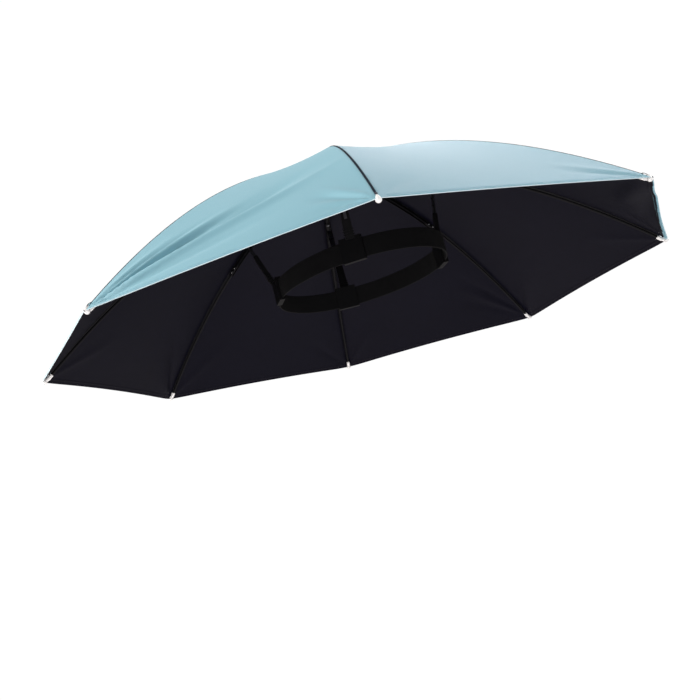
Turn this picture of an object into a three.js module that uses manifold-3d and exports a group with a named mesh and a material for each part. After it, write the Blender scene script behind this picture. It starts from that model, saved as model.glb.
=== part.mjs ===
// Umbrella hat: eight cloth gores on eight curved ribs, four stays down to an elastic headband.
// Millimetres, +Z up. The origin is on the canopy's axis at the headband's mid-height.
import * as THREE from "three";
import { mergeVertices } from "three/addons/utils/BufferGeometryUtils.js";
import Module from "manifold-3d";

const wasm = await Module();
wasm.setup();

// Canopy
const CANOPY_RADIUS = 325; // axis to the end of a rib tip
const CANOPY_RISE = 153; // tips to the cloth at the axis
const CANOPY_CURVE = 1.82; // power of the ribs' curve: 1 is a cone, 2 a parabola
const BAND_ABOVE_TIPS = 38; // headband's middle above the rib tips
const CLOTH_WALL = 1;
const CLOTH_HOLE_RADIUS = 4; // at the apex, round the crown cap's stud
const CLOTH_SAG = 4.5; // of a gore's middle below the straight line between its ribs
const CLOTH_SAG_POWER = 1.56; // moves the deepest sag outward
const HEM_BOW = 2.7; // of the hem's middle, inward
const CORNER_INSET = 7; // the cloth's corner stops short of the tip
const CLEARANCE = 0.3; // between neighbouring pieces

// Each rib lies a little off its ideal place. Reach and lift are shares of CANOPY_RADIUS.
const RIBS = [
  { name: "front", azimuth: -90, turn: 0.3, reach: 1.008, lift: -0.007, stay: true },
  { name: "front_left", azimuth: -135, turn: -0.1, reach: 0.988, lift: -0.0135, stay: false },
  { name: "left", azimuth: -180, turn: 0.2, reach: 0.988, lift: 0.003, stay: true },
  { name: "back_left", azimuth: -225, turn: -0.1, reach: 1, lift: -0.0045, stay: false },
  { name: "back", azimuth: -270, turn: 0.2, reach: 0.998, lift: 0.0095, stay: true },
  { name: "back_right", azimuth: -315, turn: 0.6, reach: 1.011, lift: -0.0141, stay: false },
  { name: "right", azimuth: -360, turn: 0, reach: 1.013, lift: -0.0041, stay: true },
  { name: "front_right", azimuth: -405, turn: 0.6, reach: 1.01, lift: -0.0055, stay: false },
];

// Folds that run in from a rib tip. across: 0 at the gore's first rib, 1 at its second.
// along: share of the way from the axis to the hem. depth and halfWidth: shares of CANOPY_RADIUS.
const FOLDS = [
  { gore: 0, across: 0.97, along: 0.97, toAcross: 0.6, toAlong: 0.72, depth: 0.011, halfWidth: 0.03 },
  { gore: 0, across: 0.1, along: 0.98, toAcross: 0.22, toAlong: 0.86, depth: 0.005, halfWidth: 0.03 },
  { gore: 6, across: 0.93, along: 0.95, toAcross: 0.62, toAlong: 0.78, depth: 0.01, halfWidth: 0.034 },
  { gore: 4, across: 0.95, along: 0.96, toAcross: 0.7, toAlong: 0.8, depth: 0.006, halfWidth: 0.03 },
];

// Ribs
const CHANNEL_WIDTH = 4;
const CHANNEL_HEIGHT = 4;
const CHANNEL_WALL = 0.4;
const CHANNEL_BELOW_CLOTH = 1.2; // the crest falls away to each side of the rib's flat top
const RIB_ROOT_RADIUS = 9; // axis to a rib's inner end
const RIB_SPLICE_RADIUS = 172; // axis to the channel's outer end
const SPLICE_LENGTH = 14; // of rod inside the channel
const ROD_RADIUS = 1.3;

// Rib tips
const TIP_LENGTH = 12;
const TIP_BALL_RADIUS = 2.7;
const TIP_SLEEVE_RADIUS = 2.1;
const TIP_BORE_DEPTH = 6;
const TIP_EYE_RADIUS = 0.7; // sewing hole

// Hub and crown cap
const HUB_RADIUS = 17;
const HUB_HEIGHT = 11;
const HUB_TAPER = 1; // narrower at its underside
const HUB_BELOW_CLOTH = 0.7; // the cloth's flat facets dip a little below its curve
const CROWN_CAP_RADIUS = 15;
const CROWN_CAP_RISE = 4;
const CROWN_CAP_EDGE = 1.2;
const STUD_RADIUS = 3;

// Headband: an oval loop of elastic webbing
const BAND_LONG_RADIUS = 96.5;
const BAND_SHORT_RADIUS = 79;
const BAND_TURN = -50.6; // azimuth of the oval's long axis, degrees
const BAND_CENTRE_X = 10.5;
const BAND_CENTRE_Y = 0.4;
const BAND_HEIGHT = 20;
const BAND_THICKNESS = 1.5;

// Stays and their clips on the band
const STAY_JOINT_RADIUS = 108; // axis to the rivet that holds a stay to its rib
const STAY_DEPTH = 2.6;
const STAY_WALL = 0.5;
const STAY_FORK = 9; // length of the open fork at the top, without its web
const RIVET_RADIUS = 0.9;
const CLIP_WIDTH = 22;
const CLIP_ABOVE = 2.6; // beyond the band's upper edge
const CLIP_BELOW = 1.6; // beyond its lower edge
const CLIP_THICKNESS = 5.4;
const ARM_WIDTH = 8.8; // at its foot
const ARM_TOP_WIDTH = 7.4;
const ARM_THICKNESS = 4.2;
const ARM_LENGTH = 31; // above the clip
const ARM_RIDGES = 3;
const ARM_RIDGE_PITCH = 2.4;
const ARM_RIDGE_STEP = 0.5;
const POCKET_DEPTH = 18; // of steel inside the arm
const WINDOW_WIDTH = 3; // slot in the arm's outer face that shows the steel
const WINDOW_LENGTH = 10;
const WINDOW_BELOW_TOP = 4;

// How finely curves are cut into facets
const GORE_ROWS = 12;
const GORE_COLUMNS = 12;
const CHANNEL_STEPS = 7;
const ROD_STEPS = 10;
const ROD_SIDES = 6;
const TIP_SIDES = 8;
const PIN_SIDES = 8;
const HUB_SIDES = 32;
const CAP_SIDES = 24;
const DOME_STEPS = 4;
const BAND_SEGMENTS = 24;
const OVERCUT = 1; // a cutting body runs this far past what it cuts

const FINISHES = {
  cloth: new THREE.MeshStandardMaterial({ color: 0x9fc3d2, roughness: 0.75, metalness: 0 }),
  painted_steel: new THREE.MeshStandardMaterial({ color: 0x1b1c1e, roughness: 0.45, metalness: 0.2 }),
  steel: new THREE.MeshStandardMaterial({ color: 0xb9bcc0, roughness: 0.3, metalness: 1 }),
  black_plastic: new THREE.MeshStandardMaterial({ color: 0x18181a, roughness: 0.5, metalness: 0 }),
  white_plastic: new THREE.MeshStandardMaterial({ color: 0xf2f2ee, roughness: 0.3, metalness: 0 }),
  webbing: new THREE.MeshStandardMaterial({ color: 0x141416, roughness: 0.9, metalness: 0 }),
};

const hat = new THREE.Group();
const ribTipHeight = -BAND_ABOVE_TIPS;
const apexHeight = CANOPY_RISE - BAND_ABOVE_TIPS;
const UP = new THREE.Vector3(0, 0, 1);

function addPiece(name, geometry, finish) {
  const mesh = new THREE.Mesh(geometry, FINISHES[finish].clone());
  mesh.name = name;
  hat.add(mesh);
}

// Solids from three.js geometry and back, so that pieces can be cut and joined.
function toSolid(geometry) {
  const bare = geometry.clone();
  bare.deleteAttribute("normal");
  bare.deleteAttribute("uv");
  const merged = mergeVertices(bare, 1e-4);
  const vertProperties = new Float32Array(merged.attributes.position.array);
  const triVerts = new Uint32Array(merged.index.array);
  return new wasm.Manifold(new wasm.Mesh({ numProp: 3, vertProperties, triVerts }));
}

function toGeometry(solid) {
  const mesh = solid.getMesh();
  const geometry = new THREE.BufferGeometry();
  geometry.setAttribute("position", new THREE.BufferAttribute(new Float32Array(mesh.vertProperties), 3));
  geometry.setIndex(new THREE.BufferAttribute(new Uint32Array(mesh.triVerts), 1));
  return geometry;
}

// Moves each vertex of a geometry to where place(point) puts it.
function reshape(geometry, place) {
  const position = geometry.attributes.position;
  const point = new THREE.Vector3();
  for (let i = 0; i < position.count; i += 1) {
    point.fromBufferAttribute(position, i);
    const moved = place(point);
    position.setXYZ(i, moved.x, moved.y, moved.z);
  }
  return geometry;
}

function box(width, depth, height, frame, offset) {
  const geometry = new THREE.BoxGeometry(width, depth, height);
  geometry.translate(offset.x, offset.y, offset.z);
  return geometry.applyMatrix4(frame);
}

// A frame with its origin at a point, Z along a direction and X across it.
function frameAt(origin, along, across) {
  const z = along.clone().normalize();
  const x = across.clone().addScaledVector(z, -across.dot(z)).normalize();
  const y = new THREE.Vector3().crossVectors(z, x);
  return new THREE.Matrix4().makeBasis(x, y, z).setPosition(origin);
}

function smoothStep(share) {
  const t = THREE.MathUtils.clamp(share, 0, 1);
  return t * t * (3 - 2 * t);
}

// The crest of a rib, share of the way from the axis to its tip.
function crestHeight(rib, along) {
  const rise = CANOPY_RISE * (1 - along ** CANOPY_CURVE);
  return ribTipHeight + rise + rib.lift * CANOPY_RADIUS * along ** 2;
}

function ribAzimuth(rib) {
  return THREE.MathUtils.degToRad(rib.azimuth + rib.turn);
}

function ribOut(rib) {
  return new THREE.Vector3(Math.cos(ribAzimuth(rib)), Math.sin(ribAzimuth(rib)), 0);
}

function ribAcross(rib) {
  return new THREE.Vector3().crossVectors(UP, ribOut(rib));
}

function ribReach(rib) {
  return rib.reach * CANOPY_RADIUS;
}

function crestPoint(rib, along) {
  return ribOut(rib).multiplyScalar(along * ribReach(rib)).setZ(crestHeight(rib, along));
}

// Where a rib's crest points, outward, at a share of its way.
function crestDirection(rib, along) {
  const step = 0.002;
  const ahead = crestPoint(rib, Math.min(along + step, 1));
  return ahead.sub(crestPoint(rib, Math.max(along - step, 0))).normalize();
}

// A point so far below the crest, square to it.
function belowCrest(rib, along, drop) {
  const down = new THREE.Vector3().crossVectors(crestDirection(rib, along), ribAcross(rib)).normalize();
  if (down.z > 0) down.negate();
  return crestPoint(rib, along).addScaledVector(down, drop);
}

// Gores: each spans two neighbouring ribs.
function foldDrop(gore, across, along) {
  let drop = 0;
  for (const fold of FOLDS.filter((row) => row.gore === gore)) {
    const span = 2 * Math.sin(Math.PI / RIBS.length) * CANOPY_RADIUS * along;
    const point = new THREE.Vector2(across * span, along * CANOPY_RADIUS);
    const start = new THREE.Vector2(fold.across * span, fold.along * CANOPY_RADIUS);
    const end = new THREE.Vector2(fold.toAcross * span, fold.toAlong * CANOPY_RADIUS);
    const run = end.clone().sub(start);
    const t = point.clone().sub(start).dot(run) / run.lengthSq();
    const nearest = start.clone().addScaledVector(run, THREE.MathUtils.clamp(t, 0, 1));
    const halfWidth = fold.halfWidth * CANOPY_RADIUS;
    const nearness = Math.exp(-((point.distanceTo(nearest) / halfWidth) ** 2));
    drop += fold.depth * CANOPY_RADIUS * nearness;
  }
  return drop;
}

function goreSurface(gore, across, along) {
  const first = RIBS[gore];
  const second = RIBS[(gore + 1) % RIBS.length];
  const point = crestPoint(first, along).lerp(crestPoint(second, along), across);
  const middle = 4 * across * (1 - across); // 0 at the ribs, 1 half-way between them
  const peak = CLOTH_SAG_POWER / (1 + CLOTH_SAG_POWER);
  const peakValue = peak ** CLOTH_SAG_POWER * (1 - peak);
  const sag = (CLOTH_SAG * along ** CLOTH_SAG_POWER * (1 - along)) / peakValue;
  point.z -= middle * sag + Math.min(middle * 3, 1) * foldDrop(gore, across, along);
  const inward = crestDirection(first, along).lerp(crestDirection(second, along), across).negate();
  const corner = CORNER_INSET * (1 - middle) ** 8;
  return point.addScaledVector(inward, (middle * HEM_BOW + corner) * along ** 3);
}

function goreNormal(gore, across, along) {
  const step = 0.004;
  const acrossStep = goreSurface(gore, across + step, along).sub(goreSurface(gore, across - step, along));
  const alongStep = goreSurface(gore, across, along + step).sub(goreSurface(gore, across, along - step));
  const normal = acrossStep.cross(alongStep).normalize();
  return normal.z < 0 ? normal.negate() : normal;
}

function goreGeometry(gore) {
  const spanAtRim = 2 * Math.sin(Math.PI / RIBS.length) * CANOPY_RADIUS;
  const holeShare = CLOTH_HOLE_RADIUS / CANOPY_RADIUS;
  const geometry = new THREE.BoxGeometry(1, 1, 1, GORE_COLUMNS, GORE_ROWS, 1);
  return reshape(geometry, (point) => {
    const along = holeShare + (1 - holeShare) * (point.y + 0.5);
    const seam = CLEARANCE / 2 / (spanAtRim * along);
    const across = seam + (1 - 2 * seam) * (point.x + 0.5);
    const wall = (point.z + 0.5) * CLOTH_WALL;
    return goreSurface(gore, across, along).addScaledVector(goreNormal(gore, across, along), wall);
  });
}

// Inner ribs: U-channels from the hub, open below.
function channelBar(rib, from, to, halfWidth, top, bottom) {
  const geometry = new THREE.BoxGeometry(1, 1, 1, 1, CHANNEL_STEPS, 1);
  return reshape(geometry, (point) => {
    const along = from + (to - from) * (point.y + 0.5);
    const place = belowCrest(rib, along, point.z > 0 ? top : bottom);
    return place.addScaledVector(ribAcross(rib), -2 * point.x * halfWidth);
  });
}

// The rivet's place: half-way down the channel, square below the crest.
function rivetPoint(rib) {
  const along = STAY_JOINT_RADIUS / ribReach(rib);
  return belowCrest(rib, along, CHANNEL_BELOW_CLOTH + CHANNEL_HEIGHT / 2);
}

function crossPin(rib, radius, length) {
  const pin = new THREE.CylinderGeometry(radius, radius, length, PIN_SIDES);
  const frame = frameAt(rivetPoint(rib), ribAcross(rib), UP);
  return pin.rotateX(Math.PI / 2).applyMatrix4(frame);
}

function innerRibGeometry(rib) {
  const from = RIB_ROOT_RADIUS / ribReach(rib);
  const to = RIB_SPLICE_RADIUS / ribReach(rib);
  const top = CHANNEL_BELOW_CLOTH;
  const past = OVERCUT / ribReach(rib);
  const bar = channelBar(rib, from, to, CHANNEL_WIDTH / 2, top, top + CHANNEL_HEIGHT);
  const hollowHalf = CHANNEL_WIDTH / 2 - CHANNEL_WALL;
  const hollowBottom = top + CHANNEL_HEIGHT + OVERCUT;
  const hollow = channelBar(rib, from - past, to + past, hollowHalf, top + CHANNEL_WALL, hollowBottom);
  let solid = toSolid(bar).subtract(toSolid(hollow));
  if (rib.stay) {
    solid = solid.subtract(toSolid(crossPin(rib, RIVET_RADIUS + CLEARANCE, 2 * CHANNEL_WIDTH)));
  }
  return toGeometry(solid);
}

// Outer ribs: round rods from inside the channel to inside the tip.
const rodAxisAtSplice = CHANNEL_BELOW_CLOTH + CHANNEL_WALL + CLEARANCE + ROD_RADIUS;
const rodAxisAtTip = TIP_SLEEVE_RADIUS + CLEARANCE;

function rodAxisDrop(rib, along) {
  const splice = RIB_SPLICE_RADIUS / ribReach(rib);
  const eased = smoothStep((along - splice) / (1 - splice));
  return THREE.MathUtils.lerp(rodAxisAtSplice, rodAxisAtTip, eased);
}

// The tip's own frame: Z runs outward along the rib, from the tip's open end.
function tipFrame(rib) {
  const middle = 1 - TIP_LENGTH / 2 / ribReach(rib);
  const direction = crestDirection(rib, middle);
  const end = belowCrest(rib, 1, rodAxisAtTip);
  const start = end.clone().addScaledVector(direction, -TIP_LENGTH);
  return frameAt(start, direction, ribAcross(rib));
}

function outerRibGeometry(rib) {
  const from = (RIB_SPLICE_RADIUS - SPLICE_LENGTH) / ribReach(rib);
  const frame = tipFrame(rib);
  const tipStart = new THREE.Vector3().setFromMatrixPosition(frame);
  const rodEnd = new THREE.Vector3(0, 0, TIP_BORE_DEPTH - CLEARANCE).applyMatrix4(frame);
  const to = Math.hypot(tipStart.x, tipStart.y) / ribReach(rib);
  const geometry = new THREE.CylinderGeometry(ROD_RADIUS, ROD_RADIUS, 1, ROD_SIDES, ROD_STEPS);
  return reshape(geometry, (point) => {
    const share = ((point.y + 0.5) * ROD_STEPS) / (ROD_STEPS - 1);
    const beyond = share > 1.001;
    const along = Math.min(from + (to - from) * share, to);
    const axis = belowCrest(rib, along, rodAxisDrop(rib, along));
    const ahead = beyond || share > 0.999 ? crestDirection(rib, to) : crestDirection(rib, along);
    const centre = beyond ? rodEnd : share > 0.999 ? tipStart.clone() : axis;
    const across = ribAcross(rib);
    const square = new THREE.Vector3().crossVectors(across, ahead).normalize();
    return centre.clone().addScaledVector(across, point.x).addScaledVector(square, point.z);
  });
}

function tipGeometry(rib) {
  const bore = ROD_RADIUS + CLEARANCE;
  const ballCentre = TIP_LENGTH - TIP_BALL_RADIUS;
  const neck = Math.asin(TIP_SLEEVE_RADIUS / TIP_BALL_RADIUS);
  const profile = [
    new THREE.Vector2(0, TIP_BORE_DEPTH),
    new THREE.Vector2(bore, TIP_BORE_DEPTH),
    new THREE.Vector2(bore, 0),
    new THREE.Vector2(TIP_SLEEVE_RADIUS, 0),
  ];
  for (let i = 0; i <= DOME_STEPS; i += 1) {
    const angle = THREE.MathUtils.lerp(Math.PI - neck, 0, i / DOME_STEPS);
    const radius = i === DOME_STEPS ? 0 : TIP_BALL_RADIUS * Math.sin(angle);
    profile.push(new THREE.Vector2(radius, ballCentre + TIP_BALL_RADIUS * Math.cos(angle)));
  }
  const body = new THREE.LatheGeometry(profile, TIP_SIDES).rotateX(Math.PI / 2);
  const eye = new THREE.CylinderGeometry(TIP_EYE_RADIUS, TIP_EYE_RADIUS, 4 * TIP_BALL_RADIUS, PIN_SIDES);
  eye.translate(0, 0, ballCentre);
  const frame = tipFrame(rib);
  const cut = toSolid(body.applyMatrix4(frame)).subtract(toSolid(eye.applyMatrix4(frame)));
  return toGeometry(cut);
}

// Hub under the cloth, and the crown cap whose stud comes down to it.
const slotDepth = CHANNEL_BELOW_CLOTH + CHANNEL_HEIGHT;
const hubShare = HUB_RADIUS / CANOPY_RADIUS;
const hubTop = lowestClothOverHub() - HUB_BELOW_CLOTH;

// Half-way across a gore the cloth is nearer the axis and lower than its ribs.
function lowestClothOverHub() {
  const along = hubShare / Math.cos(Math.PI / RIBS.length);
  return Math.min(...RIBS.map((rib, gore) => goreSurface(gore, 0.5, along).z));
}

function hubGeometry() {
  const disc = new THREE.CylinderGeometry(HUB_RADIUS, HUB_RADIUS - HUB_TAPER, HUB_HEIGHT, HUB_SIDES);
  disc.rotateX(Math.PI / 2).translate(0, 0, hubTop - HUB_HEIGHT / 2);
  let solid = toSolid(disc);
  for (const rib of RIBS) {
    const inner = RIB_ROOT_RADIUS - CLEARANCE;
    const length = HUB_RADIUS + OVERCUT - inner;
    const floor = crestHeight(rib, hubShare) - slotDepth - CLEARANCE;
    const height = hubTop + OVERCUT - floor;
    const frame = frameAt(new THREE.Vector3(0, 0, floor), UP, ribAcross(rib));
    const middle = new THREE.Vector3(0, -(inner + length / 2), height / 2);
    const width = CHANNEL_WIDTH + 2 * CLEARANCE;
    solid = solid.subtract(toSolid(box(width, length, height, frame, middle)));
  }
  return toGeometry(solid);
}

function crownCapGeometry() {
  const under = apexHeight + CLOTH_WALL + CLEARANCE;
  const profile = [
    new THREE.Vector2(0, hubTop + CLEARANCE),
    new THREE.Vector2(STUD_RADIUS, hubTop + CLEARANCE),
    new THREE.Vector2(STUD_RADIUS, under),
    new THREE.Vector2(CROWN_CAP_RADIUS, under),
  ];
  for (let i = 0; i <= DOME_STEPS; i += 1) {
    const angle = (Math.PI / 2) * (i / DOME_STEPS);
    const radius = i === DOME_STEPS ? 0 : CROWN_CAP_RADIUS * Math.cos(angle);
    const height = under + CROWN_CAP_EDGE + (CROWN_CAP_RISE - CROWN_CAP_EDGE) * Math.sin(angle);
    profile.push(new THREE.Vector2(radius, height));
  }
  return new THREE.LatheGeometry(profile, CAP_SIDES).rotateX(Math.PI / 2);
}

// Headband: the oval, grown by a margin on every side for the slots in the clips.
function bandGeometry(margin) {
  const half = BAND_THICKNESS / 2 + margin;
  const shape = new THREE.Shape();
  shape.absellipse(0, 0, BAND_LONG_RADIUS + half, BAND_SHORT_RADIUS + half, 0, 2 * Math.PI);
  const hole = new THREE.Path();
  hole.absellipse(0, 0, BAND_LONG_RADIUS - half, BAND_SHORT_RADIUS - half, 0, 2 * Math.PI);
  shape.holes.push(hole);
  const depth = BAND_HEIGHT + 2 * margin;
  const settings = { depth, bevelEnabled: false, curveSegments: BAND_SEGMENTS };
  const geometry = new THREE.ExtrudeGeometry(shape, settings);
  geometry.translate(0, 0, -depth / 2);
  geometry.rotateZ(THREE.MathUtils.degToRad(BAND_TURN));
  return geometry.translate(BAND_CENTRE_X, BAND_CENTRE_Y, 0);
}

// Where a rib's plane meets the band: the point and the band's own direction there.
function bandCrossing(rib) {
  const turn = THREE.MathUtils.degToRad(BAND_TURN);
  const centre = new THREE.Vector3(BAND_CENTRE_X, BAND_CENTRE_Y, 0);
  const start = centre.clone().negate().applyAxisAngle(UP, -turn);
  const out = ribOut(rib).applyAxisAngle(UP, -turn);
  const a = (out.x / BAND_LONG_RADIUS) ** 2 + (out.y / BAND_SHORT_RADIUS) ** 2;
  const b = (start.x * out.x) / BAND_LONG_RADIUS ** 2 + (start.y * out.y) / BAND_SHORT_RADIUS ** 2;
  const c = (start.x / BAND_LONG_RADIUS) ** 2 + (start.y / BAND_SHORT_RADIUS) ** 2 - 1;
  const reach = (-b + Math.sqrt(b * b - a * c)) / a;
  const local = start.addScaledVector(out, reach);
  const normal = new THREE.Vector3(local.x / BAND_LONG_RADIUS ** 2, local.y / BAND_SHORT_RADIUS ** 2, 0);
  const outward = normal.normalize().applyAxisAngle(UP, turn);
  return { point: ribOut(rib).multiplyScalar(reach), along: new THREE.Vector3().crossVectors(UP, outward) };
}

// A stay runs straight from the band to its rivet. Its frame starts at the band's mid-height.
function stayFrame(rib) {
  const foot = bandCrossing(rib).point;
  const top = rivetPoint(rib);
  return { frame: frameAt(foot, top.clone().sub(foot), ribAcross(rib)), length: top.distanceTo(foot) };
}

const stayWidth = CHANNEL_WIDTH + 2 * (CLEARANCE + STAY_WALL);
const clipTop = BAND_HEIGHT / 2 + CLIP_ABOVE;
const clipBottom = -BAND_HEIGHT / 2 - CLIP_BELOW;
const armTop = clipTop + ARM_LENGTH;

function stayGeometry(rib) {
  const { frame, length } = stayFrame(rib);
  const bottom = armTop - POCKET_DEPTH + CLEARANCE;
  const top = length + CHANNEL_HEIGHT / 2;
  const middle = (bottom + top) / 2;
  const bar = box(stayWidth, STAY_DEPTH, top - bottom, frame, new THREE.Vector3(0, 0, middle));
  const innerWidth = stayWidth - 2 * STAY_WALL;
  const long = top - bottom + 2 * OVERCUT;
  const hollow = box(innerWidth, STAY_DEPTH, long, frame, new THREE.Vector3(0, -STAY_WALL, middle));
  const forkMiddle = new THREE.Vector3(0, 0, top - STAY_FORK / 2 + OVERCUT);
  const fork = box(innerWidth, STAY_DEPTH + 2 * OVERCUT, STAY_FORK + 2 * OVERCUT, frame, forkMiddle);
  const channel = toSolid(bar).subtract(toSolid(hollow)).subtract(toSolid(fork));
  return toGeometry(channel.add(toSolid(crossPin(rib, RIVET_RADIUS, stayWidth - STAY_WALL))));
}

// The arm narrows from its foot to its top.
function armGeometry(frame) {
  const foot = BAND_HEIGHT / 2 + 2 * CLEARANCE;
  const length = armTop - foot;
  const geometry = new THREE.BoxGeometry(1, ARM_THICKNESS, length);
  reshape(geometry, (point) => {
    const width = point.z > 0 ? ARM_TOP_WIDTH : ARM_WIDTH;
    return new THREE.Vector3(point.x * width, point.y, foot + length / 2 + point.z);
  });
  return geometry.applyMatrix4(frame);
}

function clipGeometry(rib) {
  const { point, along } = bandCrossing(rib);
  const clipFrame = frameAt(point, UP, along);
  const sleeveMiddle = new THREE.Vector3(0, 0, (clipTop + clipBottom) / 2);
  const sleeve = box(CLIP_WIDTH, CLIP_THICKNESS, clipTop - clipBottom, clipFrame, sleeveMiddle);
  const { frame } = stayFrame(rib);
  let solid = toSolid(sleeve).add(toSolid(armGeometry(frame)));
  for (let i = 0; i < ARM_RIDGES; i += 1) {
    const height = clipTop + ARM_RIDGE_PITCH * (i + 0.75);
    const width = ARM_WIDTH + 2 * ARM_RIDGE_STEP;
    const thick = ARM_THICKNESS + 2 * ARM_RIDGE_STEP;
    const place = new THREE.Vector3(0, 0, height);
    solid = solid.add(toSolid(box(width, thick, ARM_RIDGE_PITCH / 2, frame, place)));
  }
  const pocketMiddle = new THREE.Vector3(0, 0, armTop - POCKET_DEPTH / 2 + OVERCUT);
  const pocketWidth = stayWidth + 2 * CLEARANCE;
  const pocketThick = STAY_DEPTH + 2 * CLEARANCE;
  const pocket = box(pocketWidth, pocketThick, POCKET_DEPTH + 2 * OVERCUT, frame, pocketMiddle);
  const windowHeight = armTop - WINDOW_BELOW_TOP - WINDOW_LENGTH / 2;
  const windowMiddle = new THREE.Vector3(0, -ARM_THICKNESS / 2, windowHeight);
  const opening = box(WINDOW_WIDTH, ARM_THICKNESS / 2, WINDOW_LENGTH, frame, windowMiddle);
  solid = solid.subtract(toSolid(pocket)).subtract(toSolid(opening));
  return toGeometry(solid.subtract(toSolid(bandGeometry(CLEARANCE))));
}

RIBS.forEach((rib, i) => {
  addPiece(`panel_${i + 1}`, goreGeometry(i), "cloth");
  addPiece(`rib_inner_${i + 1}`, innerRibGeometry(rib), "painted_steel");
  addPiece(`rib_outer_${i + 1}`, outerRibGeometry(rib), "painted_steel");
  addPiece(`rib_tip_${i + 1}`, tipGeometry(rib), "white_plastic");
});
addPiece("hub", hubGeometry(), "black_plastic");
addPiece("crown_cap", crownCapGeometry(), "white_plastic");
addPiece("headband", bandGeometry(0), "webbing");
RIBS.filter((rib) => rib.stay).forEach((rib) => {
  addPiece(`stay_${rib.name}`, stayGeometry(rib), "steel");
  addPiece(`band_clip_${rib.name}`, clipGeometry(rib), "black_plastic");
});

export default hat;
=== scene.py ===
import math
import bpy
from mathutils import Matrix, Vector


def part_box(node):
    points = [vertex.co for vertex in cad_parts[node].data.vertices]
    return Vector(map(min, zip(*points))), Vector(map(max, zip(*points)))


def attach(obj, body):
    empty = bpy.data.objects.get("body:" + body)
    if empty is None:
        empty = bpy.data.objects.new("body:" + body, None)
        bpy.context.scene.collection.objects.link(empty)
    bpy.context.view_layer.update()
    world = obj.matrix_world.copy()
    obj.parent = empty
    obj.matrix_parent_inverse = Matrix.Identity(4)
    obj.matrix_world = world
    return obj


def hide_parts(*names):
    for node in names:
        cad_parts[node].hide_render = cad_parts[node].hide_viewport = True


bl_info = {
    "name": "Umbrella Hat",
    "version": (1, 0, 0),
    "blender": (4, 5, 0),
    "location": "View3D > Sidebar > Umbrella Hat",
    "description": "Dresses an umbrella hat: canopy, ribs, tips, hub, stays, clips and headband",
    "category": "Object",
}

from collections import namedtuple

import bpy
import numpy as np
from bpy.props import FloatProperty, FloatVectorProperty, IntProperty, PointerProperty
from mathutils import Matrix, Vector

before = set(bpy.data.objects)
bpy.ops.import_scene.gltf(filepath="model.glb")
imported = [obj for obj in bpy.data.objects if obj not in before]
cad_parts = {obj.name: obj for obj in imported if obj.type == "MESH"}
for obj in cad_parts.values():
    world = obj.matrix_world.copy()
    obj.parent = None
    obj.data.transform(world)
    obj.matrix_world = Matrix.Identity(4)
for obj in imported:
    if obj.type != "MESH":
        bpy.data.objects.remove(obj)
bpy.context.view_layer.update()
BODY = "root"
UP = np.array([0.0, 0.0, 1.0])

# Each rib lies a little off its ideal place. Reach and lift are shares of the canopy's radius.
Rib = namedtuple("Rib", "name azimuth turn reach lift stay")
RIBS = [
    Rib("front", -90, 0.3, 1.008, -0.007, True),
    Rib("front_left", -135, -0.1, 0.988, -0.0135, False),
    Rib("left", -180, 0.2, 0.988, 0.003, True),
    Rib("back_left", -225, -0.1, 1.0, -0.0045, False),
    Rib("back", -270, 0.2, 0.998, 0.0095, True),
    Rib("back_right", -315, 0.6, 1.011, -0.0141, False),
    Rib("right", -360, 0.0, 1.013, -0.0041, True),
    Rib("front_right", -405, 0.6, 1.01, -0.0055, False),
]
COUNT = len(RIBS)

# A gore's width between its ribs, as a share of the distance from the axis.
CHORD = 2 * math.sin(math.pi / COUNT)

# Where each tip's knot sits on its ball: degrees from straight up to straight out. Below 0: at the point.
KNOT_LEANS = [-60, 40, 20, 20, 20, 20, 55, 40]

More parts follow.
